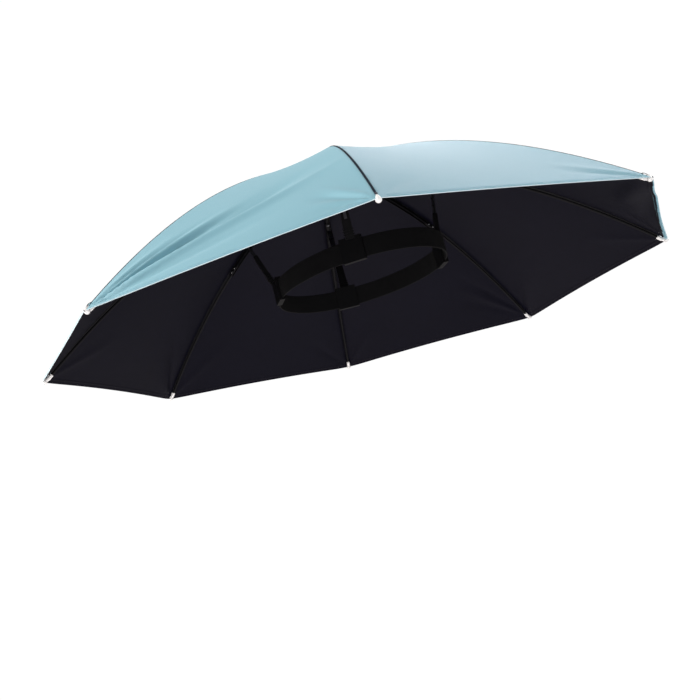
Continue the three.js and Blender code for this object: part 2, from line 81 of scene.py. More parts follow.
# Folds that fan out from a rib tip. side: 0 at the gore's first rib, 1 at its second.
# angle and width: degrees, from the hem. start and reach: metres from the tip. height: metres.
TipFold = namedtuple("TipFold", "gore side angle width start reach height")
TIP_FOLDS = [
    TipFold(0, 1, 39.0, 5.0, 0.040, 0.250, -0.0062),
    TipFold(0, 1, 29.5, 2.8, 0.045, 0.270, 0.0040),
    TipFold(0, 1, 40.5, 1.5, 0.045, 0.190, 0.0014),
    TipFold(0, 1, 44.5, 1.6, 0.045, 0.190, -0.0020),
    TipFold(0, 1, 48.5, 1.7, 0.045, 0.170, 0.0018),
    TipFold(0, 1, 53.0, 2.0, 0.045, 0.160, -0.0014),
    TipFold(0, 1, 59.0, 2.4, 0.045, 0.120, 0.0010),
    TipFold(0, 1, 18.0, 3.5, 0.030, 0.200, -0.0014),
    TipFold(0, 0, 38.0, 3.0, 0.015, 0.090, -0.0014),
    TipFold(0, 0, 47.0, 3.0, 0.015, 0.100, 0.0012),
    TipFold(0, 0, 28.0, 3.0, 0.015, 0.080, 0.0010),
    TipFold(0, 0, 20.0, 3.0, 0.015, 0.060, -0.0008),
    TipFold(7, 0, 25.0, 5.0, 0.015, 0.085, -0.0011),
    TipFold(7, 0, 38.0, 6.0, 0.020, 0.100, 0.0006),
    TipFold(7, 1, 40.0, 8.0, 0.020, 0.090, -0.0007),
    TipFold(6, 0, 35.0, 8.0, 0.020, 0.090, 0.0015),
    TipFold(4, 1, 55.0, 3.5, 0.020, 0.130, 0.0016),
    TipFold(4, 1, 47.0, 4.0, 0.025, 0.110, -0.0013),
    TipFold(4, 1, 38.0, 5.0, 0.030, 0.120, 0.0008),
    TipFold(4, 0, 45.0, 7.0, 0.020, 0.100, -0.0010),
    TipFold(3, 0, 45.0, 7.0, 0.020, 0.110, -0.0010),
    TipFold(3, 1, 38.0, 6.0, 0.020, 0.100, 0.0009),
    TipFold(2, 0, 40.0, 6.0, 0.020, 0.110, -0.0012),
    TipFold(2, 1, 48.0, 6.0, 0.020, 0.120, 0.0012),
    TipFold(5, 0, 42.0, 7.0, 0.020, 0.110, -0.0010),
    TipFold(5, 1, 36.0, 6.0, 0.020, 0.100, -0.0009),
    TipFold(1, 0, 40.0, 7.0, 0.020, 0.110, 0.0010),
    TipFold(1, 1, 44.0, 7.0, 0.020, 0.100, -0.0010),
]

# Folds along a line between two places of a gore, each given as shares across and along it.
LineFold = namedtuple("LineFold", "gore across along to_across to_along width height")
LINE_FOLDS = [
    LineFold(6, 0.93, 0.985, 0.42, 0.90, 0.011, -0.0032),
    LineFold(6, 0.80, 1.000, 0.25, 0.955, 0.010, 0.0022),
]

# Small forms of the sewn cloth, in metres. Each reach is how far from its line a form fades.
HEM_STEP = 0.0008
HEM_LAYER = 0.00025
SEAM_ROLL = 0.0004
SEAM_ROLL_REACH = 0.0014
STITCH_DIP = 0.00015
STITCH_DIP_REACH = 0.0006
STITCH_PITCH = 0.0032
STITCH_RADIUS = 0.00016
STITCH_ARCH = [-0.00012, 0.00006, 0.00006, -0.00012]
BEAD_START = 0.0005
BEAD_TOP = 0.0012
BEAD_END = 0.0030
BEAD_FROM_SEAM = 0.003
BEAD_FULL = 0.012
FOLD_FROM_SEAM = 0.0012
FOLD_FULL = 0.008

# The line of the hem's stitches as a share of its width, and a stitch as a share of its pitch.
STITCH_LINE = 0.8
STITCH_SHARE = 0.62

# The gore whose blue side shows at the inside of its hem: how wide at its first rib, and how much less
# at its second.
TURNED_GORE = 6
TURNED_WIDTH = 0.0045
TURNED_TAPER = 0.0035

# A gore's finishes, in the order of its material slots. The third is the pale hem rim, a painted highlight
# along the hem's fold.
OUTSIDE, INSIDE, HEM_HIGHLIGHT = 0, 1, 2

# The way from a tip's ball to the point that clasps the cloth: back along the rib, and up.
POINT_BACK = -0.87
POINT_UP = 0.49


class HatCanopySizes(bpy.types.PropertyGroup):
    """Sizes of the cloth canopy, as the solids have them"""

    radius: FloatProperty(
        name="Radius", description="Axis to the end of a tip", default=0.325, unit="LENGTH"
    )
    rise: FloatProperty(
        name="Rise", description="Tips to the cloth at the axis", default=0.153, unit="LENGTH"
    )
    curve: FloatProperty(name="Curve", description="Power of the ribs' curve", default=1.82)
    above_band: FloatProperty(
        name="Tips below band", description="Tips to the band's middle", default=0.038, unit="LENGTH"
    )
    hole: FloatProperty(
        name="Hole", description="Radius of the hole at the apex", default=0.004, unit="LENGTH"
    )
    sag: FloatProperty(
        name="Sag", description="Dip of a gore's middle", default=0.0045, unit="LENGTH"
    )
    sag_power: FloatProperty(name="Sag power", description="Moves the dip outward", default=1.56)
    bow: FloatProperty(
        name="Hem bow", description="Hem's middle, inward", default=0.0027, unit="LENGTH"
    )
    inset: FloatProperty(
        name="Corner inset", description="Corner to tip", default=0.0012, unit="LENGTH"
    )
    lift: FloatProperty(
        name="Lift", description="Inner face over the crest", default=0.0003, unit="LENGTH"
    )
    cloth: FloatProperty(
        name="Cloth", description="Thickness of the cloth", default=0.0004, unit="LENGTH"
    )
    seam_gap: FloatProperty(
        name="Seam", description="Half the seam's groove", default=0.0007, unit="LENGTH"
    )
    hem: FloatProperty(
        name="Hem", description="Width of the turned hem", default=0.0055, unit="LENGTH"
    )
    bead: FloatProperty(
        name="Bead", description="Extra height of the hem's fold", default=0.0005, unit="LENGTH"
    )
    columns: IntProperty(name="Columns", description="Faces across a gore", default=104, min=8)
    rows: IntProperty(name="Rows", description="Faces along a gore", default=112, min=8)
    hem_rows: IntProperty(name="Hem rows", description="Rows in the hem", default=12, min=4)


class HatFrameSizes(bpy.types.PropertyGroup):
    """Sizes of the ribs, tips, hub and stays, as the solids have them"""

    channel_width: FloatProperty(
        name="Channel width", description="Across a rib", default=0.004, unit="LENGTH"
    )
    channel_height: FloatProperty(
        name="Channel height", description="Depth of a rib", default=0.004, unit="LENGTH"
    )
    channel_wall: FloatProperty(
        name="Channel wall", description="Steel of a rib", default=0.0004, unit="LENGTH"
    )
    below_cloth: FloatProperty(
        name="Below cloth", description="Crest to a channel's top", default=0.0012, unit="LENGTH"
    )
    root: FloatProperty(
        name="Root", description="Axis to a rib's inner end", default=0.009, unit="LENGTH"
    )
    splice: FloatProperty(
        name="Splice", description="Axis to a channel's end", default=0.172, unit="LENGTH"
    )
    overlap: FloatProperty(
        name="Overlap", description="Rod inside a channel", default=0.014, unit="LENGTH"
    )
    rod: FloatProperty(name="Rod", description="Radius of a rod", default=0.0013, unit="LENGTH")
    tip_length: FloatProperty(
        name="Tip length", description="Length of a tip", default=0.012, unit="LENGTH"
    )
    tip_ball: FloatProperty(
        name="Tip ball", description="Radius of a tip's ball", default=0.0025, unit="LENGTH"
    )
    tip_rise: FloatProperty(
        name="Tip rise", description="Of a tip's ball", default=0.0009, unit="LENGTH"
    )
    tip_point: FloatProperty(
        name="Tip point", description="Ball to its point", default=0.0046, unit="LENGTH"
    )
    tip_sleeve: FloatProperty(
        name="Tip sleeve", description="Radius of its sleeve", default=0.0021, unit="LENGTH"
    )
    tip_bore: FloatProperty(
        name="Tip bore", description="Depth of its bore", default=0.006, unit="LENGTH"
    )
    clearance: FloatProperty(
        name="Clearance", description="Between pieces", default=0.0003, unit="LENGTH"
    )
    tape: FloatProperty(
        name="Tape", description="Half a seam tape's width", default=0.0036, unit="LENGTH"
    )
    tape_tip: FloatProperty(
        name="Tape at tip", description="Half its width there", default=0.0018, unit="LENGTH"
    )


class HatBandSizes(bpy.types.PropertyGroup):
    """Sizes of the elastic headband, as the solid has them"""

    long_radius: FloatProperty(
        name="Long radius", description="Of the oval", default=0.0965, unit="LENGTH"
    )
    short_radius: FloatProperty(
        name="Short radius", description="Of the oval", default=0.079, unit="LENGTH"
    )
    turn: FloatProperty(
        name="Turn",
        description="Azimuth of the long axis", default=math.radians(-50.6), unit="ROTATION",
    )
    centre_x: FloatProperty(
        name="Centre X", description="Of the oval", default=0.0105, unit="LENGTH"
    )
    centre_y: FloatProperty(
        name="Centre Y", description="Of the oval", default=0.0004, unit="LENGTH"
    )
    height: FloatProperty(
        name="Height", description="Width of the webbing", default=0.02, unit="LENGTH"
    )
    thickness: FloatProperty(
        name="Thickness", description="Of the webbing", default=0.0015, unit="LENGTH"
    )
    join: FloatProperty(
        name="Join", description="Length of the sewn overlap", default=0.024, unit="LENGTH"
    )
    join_at: FloatProperty(
        name="Join at",
        description="Turn of the overlap", default=math.radians(160), unit="ROTATION",
    )


class HatColours(bpy.types.PropertyGroup):
    """Colours of the finishes, as linear values"""

    cloth: FloatVectorProperty(
        name="Cloth", description="Outside", subtype="COLOR", default=(0.20, 0.415, 0.50)
    )
    # Edge: paler than the cloth, a painted highlight along the hems' folds.
    edge: FloatVectorProperty(
        name="Edge", description="Hem's edge", subtype="COLOR", default=(0.62, 0.75, 0.80)
    )
    coating: FloatVectorProperty(
        name="Coating", description="Inside", subtype="COLOR", default=(0.0035, 0.0034, 0.0085)
    )
    tape: FloatVectorProperty(
        name="Tape", description="Seam tape", subtype="COLOR", default=(0.002, 0.002, 0.004)
    )
    lacquer: FloatVectorProperty(
        name="Lacquer", description="Ribs", subtype="COLOR", default=(0.003, 0.003, 0.004)
    )
    steel: FloatVectorProperty(
        name="Steel", description="Rivets", subtype="COLOR", default=(0.55, 0.56, 0.58)
    )
    zinc: FloatVectorProperty(
        name="Zinc", description="Stays", subtype="COLOR", default=(0.11, 0.11, 0.12)
    )
    white: FloatVectorProperty(
        name="White", description="Tips", subtype="COLOR", default=(0.94, 0.94, 0.93)
    )
    plastic: FloatVectorProperty(
        name="Plastic", description="Clips", subtype="COLOR", default=(0.004, 0.004, 0.0045)
    )
    webbing: FloatVectorProperty(
        name="Webbing", description="Band", subtype="COLOR", default=(0.004, 0.004, 0.0045)
    )
    # Piping: the seam beads' dark navy, painted shade in the seams' grooves.
    groove_shade: FloatVectorProperty(
        name="Piping", description="Seams", subtype="COLOR", default=(0.008, 0.016, 0.028)
    )
    thread: FloatVectorProperty(
        name="Thread", description="Tip threads", subtype="COLOR", default=(0.008, 0.016, 0.03)
    )


class HatStage(bpy.types.PropertyGroup):
    """Camera, floor and light"""

    focal: FloatProperty(name="Focal length", description="On a 36 mm sensor", default=51.44)
    floor: FloatProperty(
        name="Floor", description="Height of the floor", default=-1.1, unit="LENGTH"
    )
    floor_glow: FloatProperty(name="Floor glow", description="Keeps the floor white", default=1.0)
    world: FloatProperty(name="World", description="Strength of the room's light", default=0.16)
    left: FloatProperty(
        name="Left",
        description="Power of the low light at the left", default=78.0, unit="POWER",
    )
    back: FloatProperty(
        name="Back", description="Power of the light behind", default=18.5, unit="POWER"
    )
    right: FloatProperty(
        name="Right", description="Power of the light at the right", default=33.0, unit="POWER"
    )
    front: FloatProperty(
        name="Front", description="Power of the light in front", default=3.0, unit="POWER"
    )
    low: FloatProperty(
        name="Low", description="Power of the low light in front", default=13.0, unit="POWER"
    )


GROUPS = {
    "hat_canopy": HatCanopySizes,
    "hat_frame": HatFrameSizes,
    "hat_band": HatBandSizes,
    "hat_colours": HatColours,
    "hat_stage": HatStage,
}


def sizes(group):
    """One group of the sizes or colours above, with the values that the scene holds."""
    return getattr(bpy.context.scene, group)


# Shader node groups and materials


def new_group(name, inputs, outputs):
    """An empty shader node group with its sockets."""
    group = bpy.data.node_groups.new(name, "ShaderNodeTree")
    for label, kind, value in inputs:
        socket = group.interface.new_socket(name=label, in_out="INPUT", socket_type=kind)
        if value is not None:
            socket.default_value = value
    for label, kind in outputs:
        group.interface.new_socket(name=label, in_out="OUTPUT", socket_type=kind)
    return group


class Graph:
    """Adds nodes to a tree and links them by name"""

    def __init__(self, tree):
        self.tree = tree

    def add(self, kind, settings=None, **links):
        node = self.tree.nodes.new(kind)
        for key, value in (settings or {}).items():
            setattr(node, key, value)
        for key, value in links.items():
            self.plug(node, key.replace("_", " "), value)
        return node

    def plug(self, node, key, value):
        socket = node.inputs[int(key)] if key.isdigit() else node.inputs[key]
        if isinstance(value, bpy.types.NodeSocket):
            self.tree.links.new(value, socket)
        else:
            socket.default_value = value

    def math(self, operation, a, b=0.0):
        node = self.tree.nodes.new("ShaderNodeMath")
        node.operation = operation
        self.plug(node, "0", a)
        self.plug(node, "1", b)
        return node.outputs[0]

    def inputs(self):
        return self.tree.nodes.new("NodeGroupInput").outputs

    def outputs(self):
        return self.tree.nodes.new("NodeGroupOutput")


def weave_group():
    """Threads crossing over and under: a height, and a small change of tone."""
    inputs = [("Place", "NodeSocketVector", None), ("Pitch", "NodeSocketFloat", 0.0004)]
    outputs = [("Height", "NodeSocketFloat"), ("Tone", "NodeSocketFloat")]
    group = new_group("plain weave", inputs, outputs)
    graph = Graph(group)
    given = graph.inputs()
    split = graph.add("ShaderNodeSeparateXYZ", Vector=given["Place"])
    turns = [graph.math("DIVIDE", split.outputs[axis], given["Pitch"]) for axis in ("X", "Y")]
    waves = [graph.math("SINE", graph.math("MULTIPLY", turn, math.pi)) for turn in turns]
    crossing = graph.math("MULTIPLY", waves[0], waves[1])
    height = graph.math("ABSOLUTE", crossing)
    slub = graph.add("ShaderNodeTexNoise", Vector=given["Place"], Scale=900.0, Detail=2.0)
    lumps = graph.math("MULTIPLY", slub.outputs[0], 0.4)
    out = graph.outputs()
    graph.plug(out, "Height", graph.math("ADD", height, lumps))
    graph.plug(out, "Tone", graph.math("ADD", graph.math("MULTIPLY", crossing, 0.5), 0.5))
    return group


def mottle_group():
    """Broad soft patches: a factor round 0.5, and a slow height."""
    inputs = [
        ("Place", "NodeSocketVector", None),
        ("Size", "NodeSocketFloat", 0.06),
        ("Fine size", "NodeSocketFloat", 0.008),
    ]
    outputs = [("Factor", "NodeSocketFloat"), ("Height", "NodeSocketFloat")]
    group = new_group("soft mottle", inputs, outputs)
    graph = Graph(group)
    given = graph.inputs()
    broad_scale = graph.math("DIVIDE", 1.0, given["Size"])
    fine_scale = graph.math("DIVIDE", 1.0, given["Fine size"])
    broad = graph.add("ShaderNodeTexNoise", Vector=given["Place"], Scale=broad_scale, Detail=2.0)
    fine = graph.add("ShaderNodeTexNoise", Vector=given["Place"], Scale=fine_scale, Detail=3.0)
    broad_part = graph.math("MULTIPLY", broad.outputs[0], 0.7)
    fine_part = graph.math("MULTIPLY", fine.outputs[0], 0.3)
    out = graph.outputs()
    graph.plug(out, "Factor", graph.math("ADD", broad_part, fine_part))
    graph.plug(out, "Height", broad.outputs[0])
    return group


def grain_group():
    """Moulded or lacquered surface: fine height and a roughness that wanders."""
    inputs = [
        ("Place", "NodeSocketVector", None),
        ("Grain size", "NodeSocketFloat", 0.0005),
        ("Roughness", "NodeSocketFloat", 0.45),
        ("Spread", "NodeSocketFloat", 0.12),
    ]
    outputs = [("Height", "NodeSocketFloat"), ("Roughness", "NodeSocketFloat"), ("Rub", "NodeSocketFloat")]
    group = new_group("fine grain", inputs, outputs)
    graph = Graph(group)
    given = graph.inputs()
    grain_scale = graph.math("DIVIDE", 1.0, given["Grain size"])
    grain = graph.add("ShaderNodeTexNoise", Vector=given["Place"], Scale=grain_scale, Detail=3.0)
    slow = graph.add("ShaderNodeTexNoise", Vector=given["Place"], Scale=120.0, Detail=4.0, Roughness=0.6)
    swing = graph.math("MULTIPLY", graph.math("SUBTRACT", slow.outputs[0], 0.5), given["Spread"])
    rub = graph.add("ShaderNodeMapRange", Value=slow.outputs[0])
    graph.plug(rub, "From Min", 0.62)
    graph.plug(rub, "From Max", 0.74)
    out = graph.outputs()
    graph.plug(out, "Height", grain.outputs[0])
    graph.plug(out, "Roughness", graph.math("ADD", given["Roughness"], swing))
    graph.plug(out, "Rub", rub.outputs[0])
    return group


def place_group(graph, name, build, **values):
    """A node group placed in a material with its own values. It is built once and shared."""
    node = graph.tree.nodes.new("ShaderNodeGroup")
    node.node_tree = bpy.data.node_groups.get(name) or build()
    for key, value in values.items():
        graph.plug(node, key.replace("_", " "), value)
    return node


def start_material(name):
    """A new material, its graph and its shader."""
    material = bpy.data.materials.new(name)
    material.use_nodes = True
    graph = Graph(material.node_tree)
    shader = material.node_tree.nodes["Principled BSDF"]
    return material, graph, shader


def tint(graph, colour, factor, low, high):
    """The colour, darker or paler as the factor goes from 0 to 1."""
    mix = graph.tree.nodes.new("ShaderNodeMix")
    mix.data_type = "RGBA"
    graph.plug(mix, "Factor", factor)
    mix.inputs["A"].default_value = (*[c * low for c in colour], 1)
    mix.inputs["B"].default_value = (*[c * high for c in colour], 1)
    return mix.outputs["Result"]


def bump(graph, shader, height, distance, strength=1.0, under=None):
    """Feeds a height to the shader's normal, over another bump where one is given."""
    node = graph.tree.nodes.new("ShaderNodeBump")
    graph.plug(node, "Height", height)
    node.inputs["Distance"].default_value = distance
    node.inputs["Strength"].default_value = strength
    if under is not None:
        graph.plug(node, "Normal", under)
    graph.plug(shader, "Normal", node.outputs["Normal"])
    return node.outputs["Normal"]


def cloth_material(name, colour, roughness, specular, sheen=0.0, low=0.8, high=1.2):
    """Fine woven polyester. low and high: its darkest and palest patches, as shares of the colour."""
    material, graph, shader = start_material(name)
    uv = graph.add("ShaderNodeUVMap", {"uv_map": "flat"}).outputs["UV"]
    place = graph.add("ShaderNodeTexCoord").outputs["Object"]
    mottle = place_group(graph, "soft mottle", mottle_group, Place=place, Size=0.07, Fine_size=0.006)
    weave = place_group(graph, "plain weave", weave_group, Place=uv, Pitch=0.00035)
    graph.plug(shader, "Base Color", tint(graph, colour, mottle.outputs["Factor"], low, high))
    shader.inputs["Roughness"].default_value = roughness
    shader.inputs["Specular IOR Level"].default_value = specular
    shader.inputs["Sheen Weight"].default_value = sheen
    shader.inputs["Sheen Roughness"].default_value = 0.4
    slow = bump(graph, shader, mottle.outputs["Height"], distance=0.0012, strength=0.5)
    bump(graph, shader, weave.outputs["Height"], distance=0.00005, strength=0.5, under=slow)
    return material


def canopy_cloth():
    """The blue outside of the canopy."""
    colour = sizes("hat_colours").cloth
    return cloth_material(
        "canopy cloth", colour, roughness=0.50, specular=0.3, sheen=0.05, low=0.97, high=1.03
    )


def hem_edge_highlight():
    """The hems' rims, paler than the cloth: a painted highlight along the hem's fold."""
    colour = sizes("hat_colours").edge
    return cloth_material(
        "hem edge", colour, roughness=0.6, specular=0.3, sheen=0.1, low=0.95, high=1.05
    )


def canopy_coating():
    """The black sun coating inside, dull and smoother than cloth."""
    return cloth_material(
        "canopy coating", sizes("hat_colours").coating, roughness=0.45, specular=0.05
    )


def seam_tape():
    """The black binding that covers the seams inside."""
    return cloth_material("seam tape", sizes("hat_colours").tape, roughness=0.6, specular=0.15)


def grained_material(
    name, colour, roughness, spread, grain, depth, metallic=0.0, coat=0.0, specular=0.5
):
    """A finish with a fine grain. spread: how far its roughness wanders. grain and depth: metres."""
    material, graph, shader = start_material(name)
    place = graph.add("ShaderNodeTexCoord").outputs["Object"]
    fine = place_group(
        graph,
        "fine grain",
        grain_group,
        Place=place,
        Grain_size=grain,
        Roughness=roughness,
        Spread=spread,
    )
    graph.plug(shader, "Base Color", tint(graph, colour, fine.outputs["Height"], low=0.9, high=1.1))
    graph.plug(shader, "Roughness", fine.outputs["Roughness"])
    shader.inputs["Metallic"].default_value = metallic
    shader.inputs["Coat Weight"].default_value = coat
    shader.inputs["Specular IOR Level"].default_value = specular
    bump(graph, shader, fine.outputs["Height"], depth)
    return material


def black_lacquer():
    """The ribs' paint."""
    colour = sizes("hat_colours").lacquer
    return grained_material(
        "black lacquer", colour, roughness=0.42, spread=0.15, grain=0.0006, depth=0.00002, specular=0.1
    )


def bright_steel():
    """Bright steel of the rivets."""
    colour = sizes("hat_colours").steel
    return grained_material(
        "bright steel", colour, roughness=0.28, spread=0.2, grain=0.0003, depth=0.00001, metallic=1.0
    )


def dark_zinc():
    """Plating of the stays, dark with bright glints."""
    colour = sizes("hat_colours").zinc
    return grained_material(
        "dark zinc", colour, roughness=0.3, spread=0.2, grain=0.0003, depth=0.00001, metallic=1.0
    )


def white_plastic():
    """Moulded tips and crown cap."""
    colour = sizes("hat_colours").white
    return grained_material(
        "white plastic", colour, roughness=0.32, spread=0.1, grain=0.0008, depth=0.00001, coat=0.15
    )


def black_plastic():
    """Moulded clips and hub."""
    colour = sizes("hat_colours").plastic
    return grained_material(
        "black plastic", colour, roughness=0.5, spread=0.15, grain=0.0005, depth=0.00003, specular=0.08
    )


def thread_material():
    """Sewing thread."""
    colour = sizes("hat_colours").thread
    return grained_material(
        "sewing thread", colour, roughness=0.7, spread=0.1, grain=0.0003, depth=0.00003
    )


def band_webbing():
    """Ribbed elastic webbing: fine ribs along it, a tight weft across it."""
    material, graph, shader = start_material("elastic webbing")
    uv = graph.add("ShaderNodeUVMap", {"uv_map": "flat"}).outputs["UV"]
    place = graph.add("ShaderNodeTexCoord").outputs["Object"]
    weave = place_group(graph, "plain weave", weave_group, Place=uv, Pitch=0.0009)
    mottle = place_group(graph, "soft mottle", mottle_group, Place=place, Size=0.02, Fine_size=0.002)
    colour = sizes("hat_colours").webbing
    graph.plug(shader, "Base Color", tint(graph, colour, mottle.outputs["Factor"], low=0.7, high=1.3))
    shader.inputs["Roughness"].default_value = 0.8
    shader.inputs["Specular IOR Level"].default_value = 0.1
    shader.inputs["Sheen Weight"].default_value = 0.01
    shader.inputs["Sheen Roughness"].default_value = 0.5
    bump(graph, shader, weave.outputs["Height"], distance=0.00025, strength=0.8)
    return material


# The names of the finishes made so far, by the function that makes each.
MADE = {}


def material(build):
    """A finish is made once and shared."""
    made = bpy.data.materials.get(MADE.get(build.__name__, ""))
    if made is None:
        made = build()
        MADE[build.__name__] = made.name
    return made


# Meshes


def mesh_piece(name, points, faces, finishes, slot, uv=None, choice=None, sharp=35):
    """A mesh object that rides on the hat. uv is one flat place per point, in metres."""
    mesh = bpy.data.meshes.new(name)
    mesh.from_pydata([tuple(p) for p in points], [], [tuple(int(i) for i in f) for f in faces])
    for finish in finishes:
        mesh.materials.append(material(finish))
    if choice is not None:
        mesh.polygons.foreach_set("material_index", np.asarray(choice, dtype=np.int32))
    if uv is not None:
        layer = mesh.uv_layers.new(name="flat")
        corner_points = np.empty(len(mesh.loops), dtype=np.int32)
        mesh.loops.foreach_get("vertex_index", corner_points)
        layer.data.foreach_set("uv", np.asarray(uv, dtype=np.float32)[corner_points].ravel())
    mesh.shade_smooth()
    mesh.set_sharp_from_angle(angle=math.radians(sharp))
    mesh.update()
    piece = bpy.data.objects.new(name, mesh)
    bpy.context.scene.collection.objects.link(piece)
    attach(piece, BODY)
    return piece


def grid_faces(rows, columns, start=0, flip=False):
    """Quads between rows by columns of points, in reading order."""
    index = start + np.arange(rows * columns).reshape(rows, columns)
    corners = [index[:-1, :-1], index[:-1, 1:], index[1:, 1:], index[1:, :-1]]
    quads = np.stack(corners, axis=-1).reshape(-1, 4)
    return quads[:, [0, 3, 2, 1]] if flip else quads


def grid_rim(rows, columns):
    """The outer points of a grid, all the way round."""
    index = np.arange(rows * columns).reshape(rows, columns)
    return np.concatenate([index[0, :-1], index[:-1, -1], index[-1, :0:-1], index[:0:-1, 0]])


def shell_faces(rows, columns):
    """A grid's faces, those of a second grid under it, and the walls between their rims."""
    count = rows * columns
    rim = grid_rim(rows, columns)
    after = np.roll(rim, -1)
    walls = np.stack([rim, after, after + count, rim + count], axis=-1)
    upper = grid_faces(rows, columns)
    lower = grid_faces(rows, columns, count, flip=True)
    return np.concatenate([upper, lower, walls])


def swept(path, across, section):
    """Points of a section, as (across, up) rows, carried along a path. across is one vector a step."""
    along = np.gradient(path, axis=0)
    along /= np.linalg.norm(along, axis=1, keepdims=True)
    side = across - along * (across * along).sum(axis=1, keepdims=True)
    side /= np.linalg.norm(side, axis=1, keepdims=True)
    up = np.cross(along, side)
    section = np.asarray(section)
    if section.ndim == 2:
        section = np.repeat(section[None], len(path), axis=0)
    return path[:, None] + side[:, None] * section[:, :, :1] + up[:, None] * section[:, :, 1:]


def tube_faces(steps, sides, start=0):
    """Closed side walls and end caps of a swept section."""
    index = start + np.arange(steps * sides).reshape(steps, sides)
    after = np.roll(index, -1, axis=1)
    walls = np.stack([index[:-1], after[:-1], after[1:], index[1:]], axis=-1).reshape(-1, 4)
    return [*walls.tolist(), index[0][::-1].tolist(), index[-1].tolist()]


def swept_piece(name, path, across, section, finishes, slot, **settings):
    """A piece made of one section carried along a path, closed at both ends."""
    rings = swept(path, across, section)
    steps, sides = rings.shape[:2]
    faces = tube_faces(steps, sides)
    return mesh_piece(name, rings.reshape(-1, 3), faces, finishes, slot, **settings)


def circle(radius, sides):
    """Points of a round section."""
    turn = np.linspace(0, 2 * math.pi, sides, endpoint=False)
    return np.stack([np.cos(turn), np.sin(turn)], axis=1) * radius


def joined_tubes(paths, radius, sides=6):
    """Many thin tubes as one mesh's points and faces."""
    points, faces, start = [], [], 0
    for path in paths:
        path = np.asarray(path)
        along = path[-1] - path[0]
        upright = abs(along[2]) >= 0.9 * np.linalg.norm(along)
        helper = np.array([1.0, 0.0, 0.0]) if upright else UP
        across = np.repeat(np.cross(along, helper)[None], len(path), axis=0)
        rings = swept(path, across, circle(radius, sides))
        points.append(rings.reshape(-1, 3))
        faces += tube_faces(len(path), sides, start)
        start += len(path) * sides
    return np.concatenate(points), faces


def revolved(profile, sides):
    """Points and faces of a profile turned about Z. It has (radius, height) rows, and its ends lie on Z."""
    inner = profile[1:-1]
    turn = np.linspace(0, 2 * math.pi, sides, endpoint=False)
    ring = np.stack([np.cos(turn), np.sin(turn)], axis=1)
    points = [[0, 0, profile[0][1]]]
    for radius, height in inner:
        points += [[x * radius, y * radius, height] for x, y in ring]
    points.append([0, 0, profile[-1][1]])
    last = len(points) - 1
    faces = []
    for k in range(sides):
        after = (k + 1) % sides
        faces.append([0, 1 + after, 1 + k])
        for r in range(len(inner) - 1):
            low, high = 1 + r * sides, 1 + (r + 1) * sides
            faces.append([low + k, low + after, high + after, high + k])
        top = 1 + (len(inner) - 1) * sides
        faces.append([top + k, top + after, last])
    return np.array(points, dtype=float), faces


def smooth_step(value, low, high):
    """Rises from 0 at low to 1 at high, level at both ends."""
    t = np.clip((value - low) / (high - low), 0, 1)
    return t * t * (3 - 2 * t)


# The canopy's surface


def rib_azimuth(rib):
    """The way that a rib points, seen from above."""
    return math.radians(rib.azimuth + rib.turn)


def rib_out(rib):
    """Outward along a rib, level."""
    azimuth = rib_azimuth(rib)
    return np.array([math.cos(azimuth), math.sin(azimuth), 0.0])


def rib_across(rib):
    """Sideways from a rib, level."""
    return np.cross(UP, rib_out(rib))


def rib_reach(rib):
    """Metres from the axis to the end of a rib's tip."""
    return rib.reach * sizes("hat_canopy").radius


def crest(rib, along):
    """Points of a rib's crest, at shares of the way from the axis to its tip."""
    canopy = sizes("hat_canopy")
    along = np.asarray(along, dtype=float)
    height = -canopy.above_band + canopy.rise * (1 - along**canopy.curve)
    height = height + rib.lift * canopy.radius * along**2
    return along[..., None] * rib_reach(rib) * rib_out(rib) + height[..., None] * UP


def crest_direction(rib, along):
    """The way that a rib's crest runs outward."""
    step = 0.002
    along = np.asarray(along, dtype=float)
    run = crest(rib, np.minimum(along + step, 1)) - crest(rib, np.maximum(along - step, 0.0))
    return run / np.linalg.norm(run, axis=-1, keepdims=True)


def below_crest(rib, along, drop):
    """Points so far below the crest, square to it."""
    down = np.cross(crest_direction(rib, along), rib_across(rib))
    down = np.where(down[..., 2:] > 0, -down, down)
    return crest(rib, along) + down * np.asarray(drop, dtype=float)[..., None]


def base_gore(gore, across, along):
    """The gore between two ribs: straight across, sagging in the middle, bowed at the hem."""
    canopy = sizes("hat_canopy")
    first, second = RIBS[gore], RIBS[(gore + 1) % COUNT]
    share = across[..., None]
    points = crest(first, along) * (1 - share) + crest(second, along) * share
    middle = 4 * across * (1 - across)
    peak = canopy.sag_power / (1 + canopy.sag_power)
    peak_value = peak**canopy.sag_power * (1 - peak)
    points[..., 2] -= middle * canopy.sag * along**canopy.sag_power * (1 - along) / peak_value
    outward = crest_direction(first, along) * (1 - share) + crest_direction(second, along) * share
    corner = canopy.inset * np.clip(1 - middle, 0, 1) ** 8
    return points - outward * ((middle * canopy.bow + corner) * along**3)[..., None]


def surface_normal(points):
    """Normals of a grid of points, all upward."""
    normal = np.cross(np.gradient(points, axis=1), np.gradient(points, axis=0))
    normal /= np.maximum(np.linalg.norm(normal, axis=-1, keepdims=True), 1e-12)
    return np.where(normal[..., 2:] < 0, -normal, normal)


def gore_point(gore, across, along):
    """One point of a gore without its folds."""
    return base_gore(gore, np.array([[float(across)]]), np.array([[float(along)]]))[0, 0]


